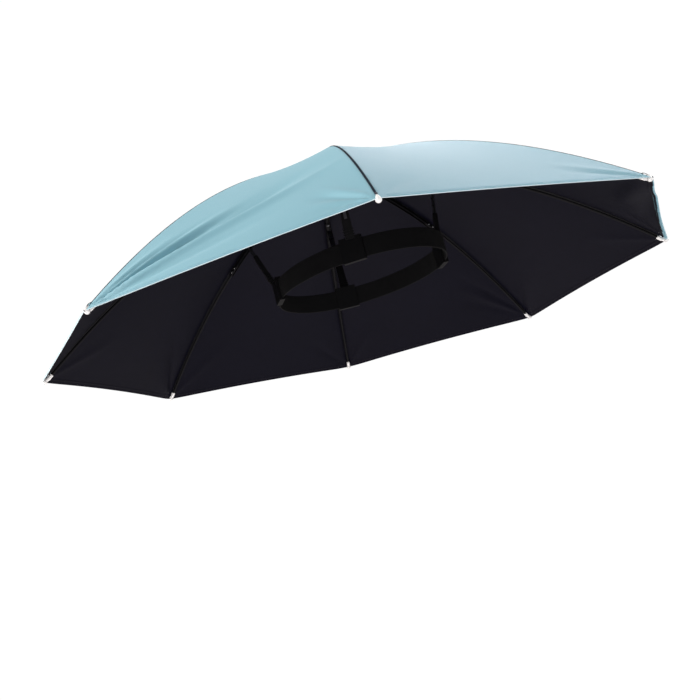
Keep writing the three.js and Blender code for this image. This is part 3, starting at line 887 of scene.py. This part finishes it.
def tip_fold_height(points, fold):
    """Height of one fold that fans out from a tip, over the gore's points."""
    corner = gore_point(fold.gore, fold.side, 1)
    far = gore_point(fold.gore, 1 - fold.side, 1)
    hem = (far - corner) / np.linalg.norm(far - corner)
    inward = gore_point(fold.gore, 0.5, 0.7) - corner
    inward = inward - hem * inward.dot(hem)
    inward /= np.linalg.norm(inward)
    away = points - corner
    distance = np.linalg.norm(away, axis=-1)
    angle = np.degrees(np.arctan2(away @ inward, away @ hem))
    least_width = 0.0018
    width = np.hypot(fold.width, np.degrees(least_width / np.maximum(distance, 0.001)))
    sharpness = 1.6
    profile = np.exp(-np.abs((angle - fold.angle) / width) ** sharpness)
    fade_from = 0.45
    fade = 1 - smooth_step(distance, fade_from * fold.reach, fold.reach)
    return fold.height * profile * fade * np.minimum(distance / fold.start, 1)


def line_fold_height(across, along, fold):
    """Height of one fold along a line."""
    radius = sizes("hat_canopy").radius
    slope = 1.3

    def flat(a, b):
        return np.stack([(a - 0.5) * CHORD * radius * b, b * radius * slope], axis=-1)

    here = flat(across, along)
    start = flat(np.float64(fold.across), np.float64(fold.along))
    end = flat(np.float64(fold.to_across), np.float64(fold.to_along))
    run = end - start
    t = np.clip(((here - start) @ run) / run.dot(run), 0, 1)
    distance = np.linalg.norm(here - start - t[..., None] * run, axis=-1)
    ends = smooth_step(t, -0.05, 0.25) * (1 - smooth_step(t, 0.7, 1.05))
    return fold.height * np.exp(-((distance / fold.width) ** 2)) * ends


def gore_grid():
    """Shares across and along for every point of a gore's grid, closer together at seams and hem."""
    canopy = sizes("hat_canopy")
    crowding = 0.7
    u = np.linspace(0, 1, canopy.columns + 1)
    u = u - crowding * np.sin(2 * math.pi * u) / (2 * math.pi)
    hole = canopy.hole / canopy.radius
    hem_start = 1 - canopy.hem * 1.5 / hem_slant()
    cloth_rows = np.linspace(hole, hem_start, canopy.rows + 1)[:-1]
    hem_rows = np.linspace(hem_start, 1, canopy.hem_rows + 1)
    along = np.concatenate([cloth_rows, hem_rows])
    along = along[:, None] * np.ones_like(u)[None]
    widest_seam = 0.12
    seam = np.minimum(canopy.seam_gap / (CHORD * canopy.radius * along), widest_seam)
    return seam + (1 - 2 * seam) * u[None], along


def hem_slant():
    """Metres of cloth, up the slope, for a whole share along at the hem."""
    canopy = sizes("hat_canopy")
    return math.hypot(canopy.radius, canopy.rise * canopy.curve)


def folded_gore(gore, across, along):
    """The gore with its folds, and its normals."""
    points = base_gore(gore, across, along)
    normal = surface_normal(points)
    height = np.zeros_like(across)
    for fold in TIP_FOLDS:
        if fold.gore == gore:
            height += tip_fold_height(points, fold)
    for fold in LINE_FOLDS:
        if fold.gore == gore:
            height += line_fold_height(across, along, fold)
    to_seam = np.minimum(across, 1 - across) * CHORD * sizes("hat_canopy").radius * along
    off_seam = smooth_step(to_seam, FOLD_FROM_SEAM, FOLD_FULL)
    points = points + normal * (height * off_seam)[..., None]
    return points, surface_normal(points)


def make_gore(gore):
    """One sewn gore: cloth outside, coating inside, with its hem and rolled seam edges."""
    canopy = sizes("hat_canopy")
    across, along = gore_grid()
    points, normal = folded_gore(gore, across, along)
    span = CHORD * canopy.radius * along
    to_seam = np.minimum(across, 1 - across) * span
    to_hem = (1 - along) * hem_slant()
    in_hem = 1 - smooth_step(to_hem, canopy.hem, canopy.hem + HEM_STEP)
    roll = SEAM_ROLL * np.exp(-((to_seam / SEAM_ROLL_REACH) ** 2))
    from_stitches = to_hem - canopy.hem * STITCH_LINE
    stitch_dip = STITCH_DIP * np.exp(-((from_stitches / STITCH_DIP_REACH) ** 2))
    turned = smooth_step(to_hem, 0.0, BEAD_START) * (1 - smooth_step(to_hem, BEAD_TOP, BEAD_END))
    bead = canopy.bead * turned * smooth_step(to_seam, BEAD_FROM_SEAM, BEAD_FULL)
    above = canopy.lift + canopy.cloth - roll - stitch_dip + bead
    below = canopy.lift - HEM_LAYER * in_hem - 0.5 * roll - 0.6 * bead
    outer = points + normal * above[..., None]
    inner = points + normal * below[..., None]
    rows, columns = across.shape
    outer_faces = (rows - 1) * (columns - 1)
    shows = -1.0
    if gore == TURNED_GORE:
        shows = TURNED_WIDTH - TURNED_TAPER * across[:-1, :-1].ravel()
    inner_choice = np.where(to_hem[:-1, :-1].ravel() < shows, OUTSIDE, INSIDE)
    rim = grid_rim(rows, columns)
    hem_points = (rows - 1) * columns
    at_hem = (rim >= hem_points) & (np.roll(rim, -1) >= hem_points)
    # Rim faces along the hem take the pale finish, a painted highlight.
    rim_choice = np.where(at_hem, HEM_HIGHLIGHT, OUTSIDE)
    flat = np.stack([(across - 0.5) * span, along * hem_slant()], axis=-1).reshape(-1, 2)
    piece = mesh_piece(
        f"canopy_gore_{gore + 1}",
        np.concatenate([outer.reshape(-1, 3), inner.reshape(-1, 3)]),
        shell_faces(rows, columns),
        [canopy_cloth, canopy_coating, hem_edge_highlight],
        "canopy_cloth",
        uv=np.concatenate([flat, flat]),
        choice=np.concatenate([np.full(outer_faces, OUTSIDE), inner_choice, rim_choice]),
        sharp=60,
    )
    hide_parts(f"panel_{gore + 1}")
    return piece


def make_hem_stitches(gore):
    """A running stitch along the hem, outside and inside."""
    canopy = sizes("hat_canopy")
    count = int(CHORD * canopy.radius / STITCH_PITCH)
    middles = (np.arange(count) + 0.5) / count
    length = STITCH_SHARE / count
    arch = np.array(STITCH_ARCH)
    across = middles[:, None] + length * np.linspace(-0.5, 0.5, len(arch))[None]
    first, last = 0.02, 0.98
    across = across[(across[:, 0] > first) & (across[:, -1] < last)]
    along = np.full_like(across, 1 - canopy.hem * STITCH_LINE / hem_slant())
    points = folded_gore(gore, across, along)[0]
    patch = base_gore(gore, *np.meshgrid(np.linspace(0.01, 0.99, 5), np.linspace(0.97, 1, 4)))
    up = surface_normal(patch)[-2, 2]
    sunk = 0.00005
    above = canopy.lift + canopy.cloth - sunk + arch
    below = canopy.lift - HEM_LAYER + sunk - arch
    outside = points + up * above[None, :, None]
    inside = points + up * below[None, :, None]
    sides = 4
    made, faces = joined_tubes(list(outside) + list(inside), STITCH_RADIUS, sides)
    faces_of_stitch = (len(arch) - 1) * sides + 2
    split = len(outside) * faces_of_stitch
    choice = np.concatenate([np.zeros(split), np.ones(len(faces) - split)])
    finishes = [canopy_cloth_thread, black_thread]
    return mesh_piece(
        f"hem_stitches_{gore + 1}", made, faces, finishes, "canopy_cloth", choice=choice
    )


def canopy_cloth_thread():
    """Thread of the hems, a little paler than the cloth."""
    paler = 1.1
    colour = [c * paler for c in sizes("hat_colours").cloth]
    return grained_material(
        "blue thread", colour, roughness=0.7, spread=0.1, grain=0.0003, depth=0.00003
    )


def black_thread():
    """Black thread inside."""
    colour = sizes("hat_colours").webbing
    return grained_material(
        "black thread", colour, roughness=0.6, spread=0.1, grain=0.0003, depth=0.00003
    )


def make_tape(number):
    """The binding along a seam, inside, over the rib."""
    canopy, parts = sizes("hat_canopy"), sizes("hat_frame")
    rib = RIBS[number]
    from_root, from_end = 0.006, 0.009
    start = (parts.root + from_root) / rib_reach(rib)
    end = 1 - from_end / rib_reach(rib)
    steps = 70
    along = np.linspace(start, end, steps)
    taper_start = 0.25
    taper = np.maximum(along - taper_start, 0) / (1 - taper_start)
    half = parts.tape + (parts.tape_tip - parts.tape) * taper
    offsets = np.array([-1, -0.66, -0.33, 0, 0.33, 0.66, 1])
    span = CHORD * canopy.radius * along
    layers = []
    for lift in (0.00018, -0.00002):
        columns = []
        for offset in offsets:
            share = np.abs(offset) * half / span
            gore = number if offset >= 0 else (number - 1) % COUNT
            across = share if offset >= 0 else 1 - share
            line, normal = folded_line(gore, across, along)
            columns.append(line + normal * lift)
        layers.append(np.stack(columns, axis=1).reshape(-1, 3))
    width = len(offsets)
    up_slope = np.repeat(along[:, None] * hem_slant(), width, axis=1)
    flat = np.stack([offsets[None] * half[:, None], up_slope], axis=-1).reshape(-1, 2)
    return mesh_piece(
        f"seam_tape_{number + 1}",
        np.concatenate(layers),
        shell_faces(steps, width),
        [seam_tape],
        "canopy_cloth",
        uv=np.concatenate([flat, flat]),
        sharp=60,
    )


def make_groove_shade_bead(number):
    """A narrow dark bead sunk in a seam outside: painted shade of the seam's groove."""
    canopy = sizes("hat_canopy")
    rib = RIBS[number]
    from_axis, from_end, sunk = 0.016, 0.0075, 0.0004
    half_width, half_height = 0.0010, 0.00028
    along = np.linspace(from_axis / canopy.radius, 1 - from_end / rib_reach(rib), 90)
    middle = canopy.lift + canopy.cloth - sunk
    path = below_crest(rib, along, np.full_like(along, -middle))
    across = np.repeat(rib_across(rib)[None], len(path), axis=0)
    section = circle(1.0, 10) * (half_width, half_height)
    return swept_piece(f"seam_piping_{number + 1}", path, across, section, [groove_shade], "canopy_cloth")


def groove_shade():
    """Dark navy of the seam beads: painted shade in the seams' grooves."""
    colour = sizes("hat_colours").groove_shade
    return grained_material(
        "navy piping", colour, roughness=0.8, spread=0.1, grain=0.0004, depth=0.00004, specular=0.1
    )


def folded_line(gore, across, along):
    """Points and normals of the folded gore along one line."""
    step = 0.004
    beside = across + np.where(across < 0.5, step, -step)
    pair = np.stack([across, beside], axis=1)
    points, normal = folded_gore(gore, pair, np.stack([along, along], axis=1))
    return points[:, 0], normal[:, 0]


class HAT_OT_canopy(bpy.types.Operator):
    """Sew the eight gores, with their hems and seam tapes"""

    bl_idname = "hat.canopy"
    bl_label = "Canopy"

    def execute(self, context):
        canopy = sizes("hat_canopy")
        for gore in range(COUNT):
            piece = make_gore(gore)
            stitches = make_hem_stitches(gore)
            tape = make_tape(gore)
            # A dark bead in the seam: painted shade of its groove.
            bead = make_groove_shade_bead(gore)
        return {"FINISHED"}


# Ribs, tips, hub


def channel_section():
    """A U open below, as (across, up) rows from the channel's top middle, with rounded bends."""
    parts = sizes("hat_frame")
    half, wall, height = parts.channel_width / 2, parts.channel_wall, parts.channel_height
    bend = 0.0007
    turns = np.linspace(0, math.pi / 2, 4)
    outer = [(half - bend + bend * math.sin(t), -bend + bend * math.cos(t)) for t in turns]
    small = bend - wall
    inner = [(half - bend + small * math.sin(t), -bend + small * math.cos(t)) for t in turns]
    right = [*outer, (half, -height), (half - wall, -height), *inner[::-1]]
    left = [(-x, z) for x, z in right[::-1]]
    return np.array(right + left)


def make_channel(number):
    """The inner part of a rib: a bent steel channel."""
    parts = sizes("hat_frame")
    rib = RIBS[number]
    along = np.linspace(parts.root / rib_reach(rib), parts.splice / rib_reach(rib), 36)
    path = below_crest(rib, along, np.full_like(along, parts.below_cloth))
    across = np.repeat(rib_across(rib)[None], len(path), axis=0)
    name, section = f"rib_channel_{number + 1}", channel_section()
    piece = swept_piece(name, path, across, section, [black_lacquer], "rib_steel")
    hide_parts(f"rib_inner_{number + 1}")
    return piece


def tip_frame(rib):
    """Where a tip starts, and the way it points."""
    parts = sizes("hat_frame")
    middle = 1 - parts.tip_length / 2 / rib_reach(rib)
    direction = crest_direction(rib, middle)
    end = below_crest(rib, np.float64(1), parts.tip_sleeve + parts.clearance)
    return end - direction * parts.tip_length, direction


def make_rod(number):
    """The outer part of a rib: a round rod, crimped where it enters the channel."""
    parts = sizes("hat_frame")
    rib = RIBS[number]
    reach = rib_reach(rib)
    start, direction = tip_frame(rib)
    at_splice = parts.below_cloth + parts.channel_wall + parts.clearance + parts.rod
    at_tip = parts.tip_sleeve + parts.clearance
    from_share = (parts.splice - parts.overlap) / reach
    to_share = math.hypot(start[0], start[1]) / reach
    along = np.linspace(from_share, to_share, 46)
    drop = at_splice + (at_tip - at_splice) * smooth_step(along, parts.splice / reach, 1)
    path = below_crest(rib, along, drop)
    path = np.vstack([path[:-1], start, start + direction * (parts.tip_bore - parts.clearance)])
    across = np.repeat(rib_across(rib)[None], len(path), axis=0)
    name, section = f"rib_rod_{number + 1}", circle(parts.rod, 12)
    piece = swept_piece(name, path, across, section, [black_lacquer], "rib_steel")
    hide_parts(f"rib_outer_{number + 1}")
    return piece


# Profiles as (radius, height) rows, in metres: a rivet's head, and the disc of a knot.
RIVET_HEAD = [(0, 0), (0.0009, 0), (0.0009, 0.00012), (0.0007, 0.0004), (0.00035, 0.00055), (0, 0.0006)]
KNOT = [(0, -0.0005), (0.0006, -0.0003), (0.0008, 0), (0.0006, 0.0003), (0, 0.0004)]


def make_rivets(number):
    """Rivet heads on both sides of a rib's splice."""
    parts = sizes("hat_frame")
    rib = RIBS[number]
    side = rib_across(rib)
    inward = [0.004, 0.010]
    points, faces, start = [], [], 0
    for distance in inward:
        share = np.float64((parts.splice - distance) / rib_reach(rib))
        centre = below_crest(rib, share, parts.below_cloth + parts.channel_height / 2)
        for way in (1, -1):
            made, made_faces = revolved(RIVET_HEAD, 10)
            turn = Vector((0, 0, 1)).rotation_difference(Vector(side * way)).to_matrix()
            made = made @ np.array(turn).T + centre + side * way * parts.channel_width / 2
            points.append(made)
            faces += [[i + start for i in face] for face in made_faces]
            start += len(made)
    name, made = f"splice_rivets_{number + 1}", np.concatenate(points)
    return mesh_piece(name, made, faces, [bright_steel], "stay_steel")


def tip_axes(number):
    """A tip's start, its direction, sideways and upward, and the middle of its ball."""
    parts = sizes("hat_frame")
    rib = RIBS[number]
    start, direction = tip_frame(rib)
    side = rib_across(rib)
    up = np.cross(direction, side)
    up = up if up[2] > 0 else -up
    ball = start + direction * (parts.tip_length - parts.tip_ball) + up * parts.tip_rise
    return start, direction, side, up, ball


def make_tip(number):
    """A moulded tip: a sleeve on the rod, and a drop whose point clasps the cloth's corner."""
    parts = sizes("hat_frame")
    start, direction, side, up, ball = tip_axes(number)
    sleeve, round_end = parts.tip_sleeve * 0.92, parts.tip_ball
    waist, chamfer = sleeve * 0.85, 0.0003
    waist_start, waist_end = 0.0052, 0.0062
    bore = parts.rod + 0.0001
    neck = parts.tip_length - round_end
    profile = [(0, parts.tip_bore), (bore, parts.tip_bore), (bore, 0)]
    profile += [(sleeve - chamfer, 0), (sleeve, chamfer), (sleeve, waist_start)]
    profile += [(waist, waist_end), (waist, neck), (0, neck)]
    points, faces = revolved(profile, 20)
    points = points[:, :1] * side + points[:, 1:2] * up + points[:, 2:] * direction + start
    rise = smooth_step((points - start) @ direction, waist_start, neck) * parts.tip_rise
    points += rise[:, None] * up
    way = POINT_BACK * direction + POINT_UP * up
    across = np.cross(way, side)
    point_radius = 0.0006
    touch = math.acos((round_end - point_radius) / parts.tip_point)
    drop = [(0, -round_end)]
    for turn in np.linspace(math.pi, touch, 16)[1:]:
        drop.append((round_end * math.sin(turn), round_end * math.cos(turn)))
    for turn in np.linspace(touch, 0, 5)[:-1]:
        height = parts.tip_point + point_radius * math.cos(turn)
        drop.append((point_radius * math.sin(turn), height))
    drop.append((0, parts.tip_point + point_radius))
    made, drop_faces = revolved(drop, 24)
    made = made[:, :1] * side + made[:, 1:2] * across + made[:, 2:] * way + ball
    faces += [[i + len(points) for i in face] for face in drop_faces]
    points = np.concatenate([points, made])
    piece = mesh_piece(f"tip_cap_{number + 1}", points, faces, [white_plastic], "tip_plastic")
    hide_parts(f"rib_tip_{number + 1}")
    return piece


def make_threads(number):
    """The dark knot on a tip, and the threads that run from it to the cloth's seam."""
    parts = sizes("hat_frame")
    _, direction, side, up, ball = tip_axes(number)
    lean = math.radians(KNOT_LEANS[number])
    at_point = lean < 0
    if at_point:
        way = POINT_BACK * direction + POINT_UP * up
        knot = ball + way * parts.tip_point + up * 0.0007
    else:
        way = up * math.cos(lean) + direction * math.sin(lean)
        knot = ball + way * parts.tip_ball
    made, faces = revolved(KNOT, 12)
    flat = np.cross(way, side)
    disc = made[:, :1] * side + made[:, 1:2] * flat + made[:, 2:] * way + knot
    seam = ball - direction * (parts.tip_point + 0.0030) + up * 0.0026
    over = ball - direction * 0.0030 + up * (parts.tip_ball + 0.0001)
    sewn_in = -direction * 0.0012 - up * 0.0006
    paths = []
    for spread in (-0.0006, 0.0, 0.0006):
        last = [seam + side * spread * 1.5, seam + sewn_in]
        line = [knot, *last] if at_point else [knot, over + side * spread, *last]
        paths.append(bend_through(line, 12))
    thread_radius = 0.0002
    tubes, tube_sides = joined_tubes(paths, thread_radius, 6)
    faces += [[i + len(disc) for i in face] for face in tube_sides]
    points = np.concatenate([disc, tubes])
    return mesh_piece(f"tip_thread_{number + 1}", points, faces, [thread_material], "canopy_cloth")


def bend_through(points, count):
    """A smooth curve through a few points."""
    points = np.asarray(points, dtype=float)
    spans = np.concatenate([[0], np.cumsum(np.linalg.norm(np.diff(points, axis=0), axis=1))])
    fine = np.linspace(0, spans[-1], count)
    slopes = np.gradient(points, spans, axis=0)
    index = np.clip(np.searchsorted(spans, fine, side="right") - 1, 0, len(points) - 2)
    width = (spans[index + 1] - spans[index])[:, None]
    t = (fine - spans[index])[:, None] / width
    start, end = points[index], points[index + 1]
    return (
        (2 * t**3 - 3 * t**2 + 1) * start
        + (t**3 - 2 * t**2 + t) * width * slopes[index]
        + (3 * t**2 - 2 * t**3) * end
        + (t**3 - t**2) * width * slopes[index + 1]
    )


class HAT_OT_ribs(bpy.types.Operator):
    """Bend the eight ribs: a channel, a rod and their rivets"""

    bl_idname = "hat.ribs"
    bl_label = "Ribs"

    def execute(self, context):
        for number in range(COUNT):
            make_channel(number)
            make_rod(number)
            make_rivets(number)
        return {"FINISHED"}


class HAT_OT_tips(bpy.types.Operator):
    """Mould the eight tips and tie them to the cloth"""

    bl_idname = "hat.tips"
    bl_label = "Tips"

    def execute(self, context):
        for number in range(COUNT):
            make_tip(number)
            make_threads(number)
        return {"FINISHED"}


def finish_node(node, finish, bevel=0.0):
    """A node of the solids keeps its shape and gets a finish, with a small bevel where one is named."""
    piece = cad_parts[node]
    piece.data.materials.clear()
    piece.data.materials.append(material(finish))
    if bevel:
        edge = piece.modifiers.new("edge", "BEVEL")
        edge.width = bevel
        edge.segments = 2
        edge.limit_method = "ANGLE"
        edge.angle_limit = math.radians(40)
        edge.harden_normals = False


class HAT_OT_hub(bpy.types.Operator):
    """Finish the hub and the crown cap"""

    bl_idname = "hat.hub"
    bl_label = "Hub and crown cap"

    def execute(self, context):
        finish_node("hub", black_plastic, 0.0003)
        make_crown_cap()
        return {"FINISHED"}


def make_crown_cap():
    """A low moulded cap over the apex, with its stud."""
    low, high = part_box("crown_cap")
    radius = (high[0] - low[0]) / 2
    top, bottom = high[2], low[2]
    stud, rise, chamfer, wall = 0.003, 0.004, 0.0006, 0.001
    under = top - rise
    profile = [(0, bottom), (stud, bottom), (stud, under)]
    profile += [(radius - chamfer, under), (radius, under + 0.0005)]
    for turn in np.linspace(0, math.pi / 2, 14)[1:-1]:
        height = under + wall + (rise - wall) * math.sin(turn)
        profile.append((radius * math.cos(turn) ** 0.9, height))
    profile.append((0, top))
    points, faces = revolved(profile, 64)
    piece = mesh_piece("crown_button", points, faces, [white_plastic], "tip_plastic")
    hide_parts("crown_cap")
    return piece


# Headband, stays and clips


def band_point(turn, outward, height):
    """A place on the band: its angle round the oval, how far out of its middle, and how high."""
    band = sizes("hat_band")
    turn = np.asarray(turn, dtype=float)
    flat = np.stack([band.long_radius * np.cos(turn), band.short_radius * np.sin(turn)], axis=-1)
    normal = np.stack([np.cos(turn) / band.long_radius, np.sin(turn) / band.short_radius], axis=-1)
    normal /= np.linalg.norm(normal, axis=-1, keepdims=True)
    flat = flat + normal * np.asarray(outward, dtype=float)[..., None]
    c, s = math.cos(band.turn), math.sin(band.turn)
    x = flat[..., 0] * c - flat[..., 1] * s + band.centre_x
    y = flat[..., 0] * s + flat[..., 1] * c + band.centre_y
    return np.stack([x, y, np.broadcast_to(height, x.shape)], axis=-1)


def webbing_section(half_height, half_thick):
    """Flat webbing with rounded selvedges, as (outward, up) rows."""
    edge = half_height - half_thick
    turns = np.linspace(0, math.pi, 7)
    upper = [(half_thick * math.cos(t), edge + half_thick * math.sin(t)) for t in turns]
    lower = [(-x, -z) for x, z in upper]
    heights = np.linspace(edge, -edge, 14)[1:-1]
    left = [(-half_thick, z) for z in heights]
    right = [(half_thick, z) for z in heights[::-1]]
    return np.array([*upper, *left, *lower, *right])


def band_rings(turn, section, outward=0.0, wander=0.0):
    """The webbing's section at each turn round the oval. wander moves both selvedges in or out."""
    columns = []
    for out, up in section:
        height = up + wander * np.sign(up)
        columns.append(band_point(turn, np.full(len(turn), outward + out), height))
    return np.stack(columns, axis=1)


def band_flat(lengths, section):
    """Flat places of the webbing's points: along the band, and up it."""
    along = np.repeat(lengths[:, None], len(section), axis=1)
    up = np.repeat(section[None, :, 1], len(lengths), axis=0)
    return np.stack([along, up], axis=-1).reshape(-1, 2)


def make_headband():
    """The elastic loop, closed on itself."""
    band = sizes("hat_band")
    steps, trim = 260, 0.0001
    turn = np.linspace(0, 2 * math.pi, steps, endpoint=False)
    section = webbing_section(band.height / 2 - trim, band.thickness / 2 - trim)
    wander = 0.0001 * np.sin(turn * 5 + 1) + 0.00007 * np.sin(turn * 11)
    rings = band_rings(turn, section, wander=wander)
    index = np.arange(steps * len(section)).reshape(steps, len(section))
    after, around = np.roll(index, -1, axis=1), np.roll(index, -1, axis=0)
    corner = np.roll(after, -1, axis=0)
    faces = np.stack([index, around, corner, after], axis=-1).reshape(-1, 4)
    loop = math.pi * (band.long_radius + band.short_radius)
    piece = mesh_piece(
        "headband_webbing",
        rings.reshape(-1, 3),
        faces,
        [band_webbing],
        "band_webbing",
        uv=band_flat(turn / (2 * math.pi) * loop, section),
        sharp=70,
    )
    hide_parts("headband")
    return piece, loop


def make_band_join():
    """The overlap where the loop is sewn: a second layer and its stitches."""
    band = sizes("hat_band")
    steps = 24
    half_turn = band.join / (band.long_radius + band.short_radius)
    turn = np.linspace(band.join_at - half_turn, band.join_at + half_turn, steps)
    section = webbing_section(band.height / 2 - 0.0003, 0.0005)
    outward = band.thickness / 2 + 0.0006
    patch = mesh_piece(
        "band_join",
        band_rings(turn, section, outward).reshape(-1, 3),
        tube_faces(steps, len(section)),
        [band_webbing],
        "band_webbing",
        uv=band_flat(turn * band.short_radius, section),
        sharp=70,
    )
    lowest, pitch, length = -0.0085, 0.0019, 0.0013
    outs = outward + 0.0006 + np.array([-0.0001, 0.0001, 0.0001, -0.0001])
    paths = []
    for share in (-0.86, -0.74, 0.74, 0.86):
        angle = band.join_at + half_turn * share
        for row in range(9):
            low = lowest + row * pitch
            heights = np.linspace(low, low + length, len(outs))
            paths.append(np.stack([band_point(angle, out, up) for out, up in zip(outs, heights)]))
    thread_radius = 0.0002
    points, faces = joined_tubes(paths, thread_radius, 5)
    stitches = mesh_piece("band_stitches", points, faces, [black_thread], "band_webbing")
    return [patch, stitches]


class HAT_OT_headband(bpy.types.Operator):
    """Weave the elastic headband and sew its join"""

    bl_idname = "hat.headband"
    bl_label = "Headband"

    def execute(self, context):
        band = sizes("hat_band")
        piece, loop = make_headband()
        joined = make_band_join()
        return {"FINISHED"}


class HAT_OT_stays(bpy.types.Operator):
    """Finish the four stays and the clips on the band"""

    bl_idname = "hat.stays"
    bl_label = "Stays and clips"

    def execute(self, context):
        for rib in RIBS:
            if rib.stay:
                finish_node(f"stay_{rib.name}", dark_zinc, 0.00012)
                finish_node(f"band_clip_{rib.name}", black_plastic, 0.00035)
        return {"FINISHED"}


# Stage


# The camera's place and axes come from the fit of the canopy to the photograph, in canopy radii.
CAMERA_PLACE = (-0.2833, -3.0146, -0.6997)
CAMERA_RIGHT = (0.97077, -0.02677, -0.23853)
CAMERA_DOWN = (-0.22844, 0.20201, -0.95237)
CAMERA_AHEAD = (0.07368, 0.97902, 0.18999)
SENSOR = 36

# The lights round the hat. power: the stage's property. place and target: metres.
Lamp = namedtuple("Lamp", "name power place target size colour")
LAMPS = [
    Lamp("left light", "left", (-1.7, 0.1, 0.8), (0, 0, 0.05), 0.6, (1, 0.88, 0.83)),
    Lamp("back light", "back", (0.9, 1.2, 1.3), (0, 0, 0.05), 1.3, (1, 0.95, 0.99)),
    Lamp("right light", "right", (1.7, -0.2, 0.9), (0, 0, 0.05), 1.0, (1, 1, 1)),
    Lamp("front light", "front", (0.2, -1.9, 0.25), (0, 0, 0), 1.0, (1, 1, 1)),
    Lamp("low light", "low", (-0.5, -1.5, -0.8), (0, 0, 0), 1.2, (1, 1, 1)),
]


def make_camera():
    """The photograph's view of the hat."""
    stage, canopy = sizes("hat_stage"), sizes("hat_canopy")
    data = bpy.data.cameras.new("camera")
    data.lens = stage.focal
    data.sensor_width = SENSOR
    camera = bpy.data.objects.new("camera", data)
    bpy.context.scene.collection.objects.link(camera)
    place = Vector(CAMERA_PLACE) * canopy.radius - Vector((0, 0, canopy.above_band))
    axes = Matrix((CAMERA_RIGHT, [-v for v in CAMERA_DOWN], [-v for v in CAMERA_AHEAD])).transposed()
    camera.matrix_world = Matrix.Translation(place) @ axes.to_4x4()
    bpy.context.scene.camera = camera


def make_light(lamp):
    """A soft square light that faces its target."""
    data = bpy.data.lights.new(lamp.name, "AREA")
    data.energy = getattr(sizes("hat_stage"), lamp.power)
    data.size = lamp.size
    data.color = lamp.colour
    light = bpy.data.objects.new(lamp.name, data)
    light.location = lamp.place
    light.rotation_mode = "QUATERNION"
    ahead = Vector(lamp.target) - Vector(lamp.place)
    light.rotation_quaternion = ahead.to_track_quat("-Z", "Y")
    bpy.context.scene.collection.objects.link(light)


def make_floor():
    """A pale floor far below, which glows only for the camera."""
    stage = sizes("hat_stage")
    half, height = 6.0, stage.floor
    corners = [(-half, -half, height), (half, -half, height), (half, half, height), (-half, half, height)]
    mesh = bpy.data.meshes.new("floor")
    mesh.from_pydata(corners, [], [(0, 1, 2, 3)])
    floor = bpy.data.objects.new("floor", mesh)
    bpy.context.scene.collection.objects.link(floor)
    finish, graph, shader = start_material("pale floor")
    shader.inputs["Base Color"].default_value = (0.86, 0.86, 0.87, 1)
    shader.inputs["Roughness"].default_value = 0.9
    shader.inputs["Emission Color"].default_value = (1, 1, 1, 1)
    seen = graph.add("ShaderNodeLightPath").outputs["Is Camera Ray"]
    graph.plug(shader, "Emission Strength", graph.math("MULTIPLY", seen, stage.floor_glow))
    mesh.materials.append(finish)


def make_world():
    """The room's even light. The camera sees it as white."""
    world = bpy.data.worlds.new("studio")
    world.use_nodes = True
    background = world.node_tree.nodes["Background"]
    background.inputs["Color"].default_value = (1, 1, 1, 1)
    graph = Graph(world.node_tree)
    room = sizes("hat_stage").world
    seen = graph.add("ShaderNodeLightPath").outputs["Is Camera Ray"]
    white = 1.02
    extra = graph.math("MULTIPLY", seen, white - room)
    graph.plug(background, "Strength", graph.math("ADD", extra, room))
    bpy.context.scene.world = world


class HAT_OT_stage(bpy.types.Operator):
    """Set up the camera, the floor and the soft studio light"""

    bl_idname = "hat.stage"
    bl_label = "Stage"

    def execute(self, context):
        make_camera()
        make_floor()
        make_world()
        for lamp in LAMPS:
            make_light(lamp)
        context.scene.view_settings.view_transform = "Standard"
        context.scene.view_settings.look = "None"
        return {"FINISHED"}


class HAT_PT_panel(bpy.types.Panel):
    """Lists the hat's steps"""

    bl_idname = "HAT_PT_panel"
    bl_label = "Umbrella Hat"
    bl_space_type = "VIEW_3D"
    bl_region_type = "UI"
    bl_category = "Umbrella Hat"

    def draw(self, context):
        for step in STEPS:
            self.layout.operator(step.bl_idname)


STEPS = [HAT_OT_stage, HAT_OT_canopy, HAT_OT_ribs, HAT_OT_tips, HAT_OT_hub, HAT_OT_headband, HAT_OT_stays]
CLASSES = [*GROUPS.values(), *STEPS, HAT_PT_panel]


def register():
    for item in CLASSES:
        bpy.utils.register_class(item)
    for name, group in GROUPS.items():
        setattr(bpy.types.Scene, name, PointerProperty(type=group))


def unregister():
    for name in GROUPS:
        delattr(bpy.types.Scene, name)
    for item in reversed(CLASSES):
        bpy.utils.unregister_class(item)


def main():
    register()
    bpy.ops.hat.stage()
    bpy.ops.hat.canopy()
    bpy.ops.hat.ribs()
    bpy.ops.hat.tips()
    bpy.ops.hat.hub()
    bpy.ops.hat.headband()
    bpy.ops.hat.stays()


if __name__ == "__main__":
    main()
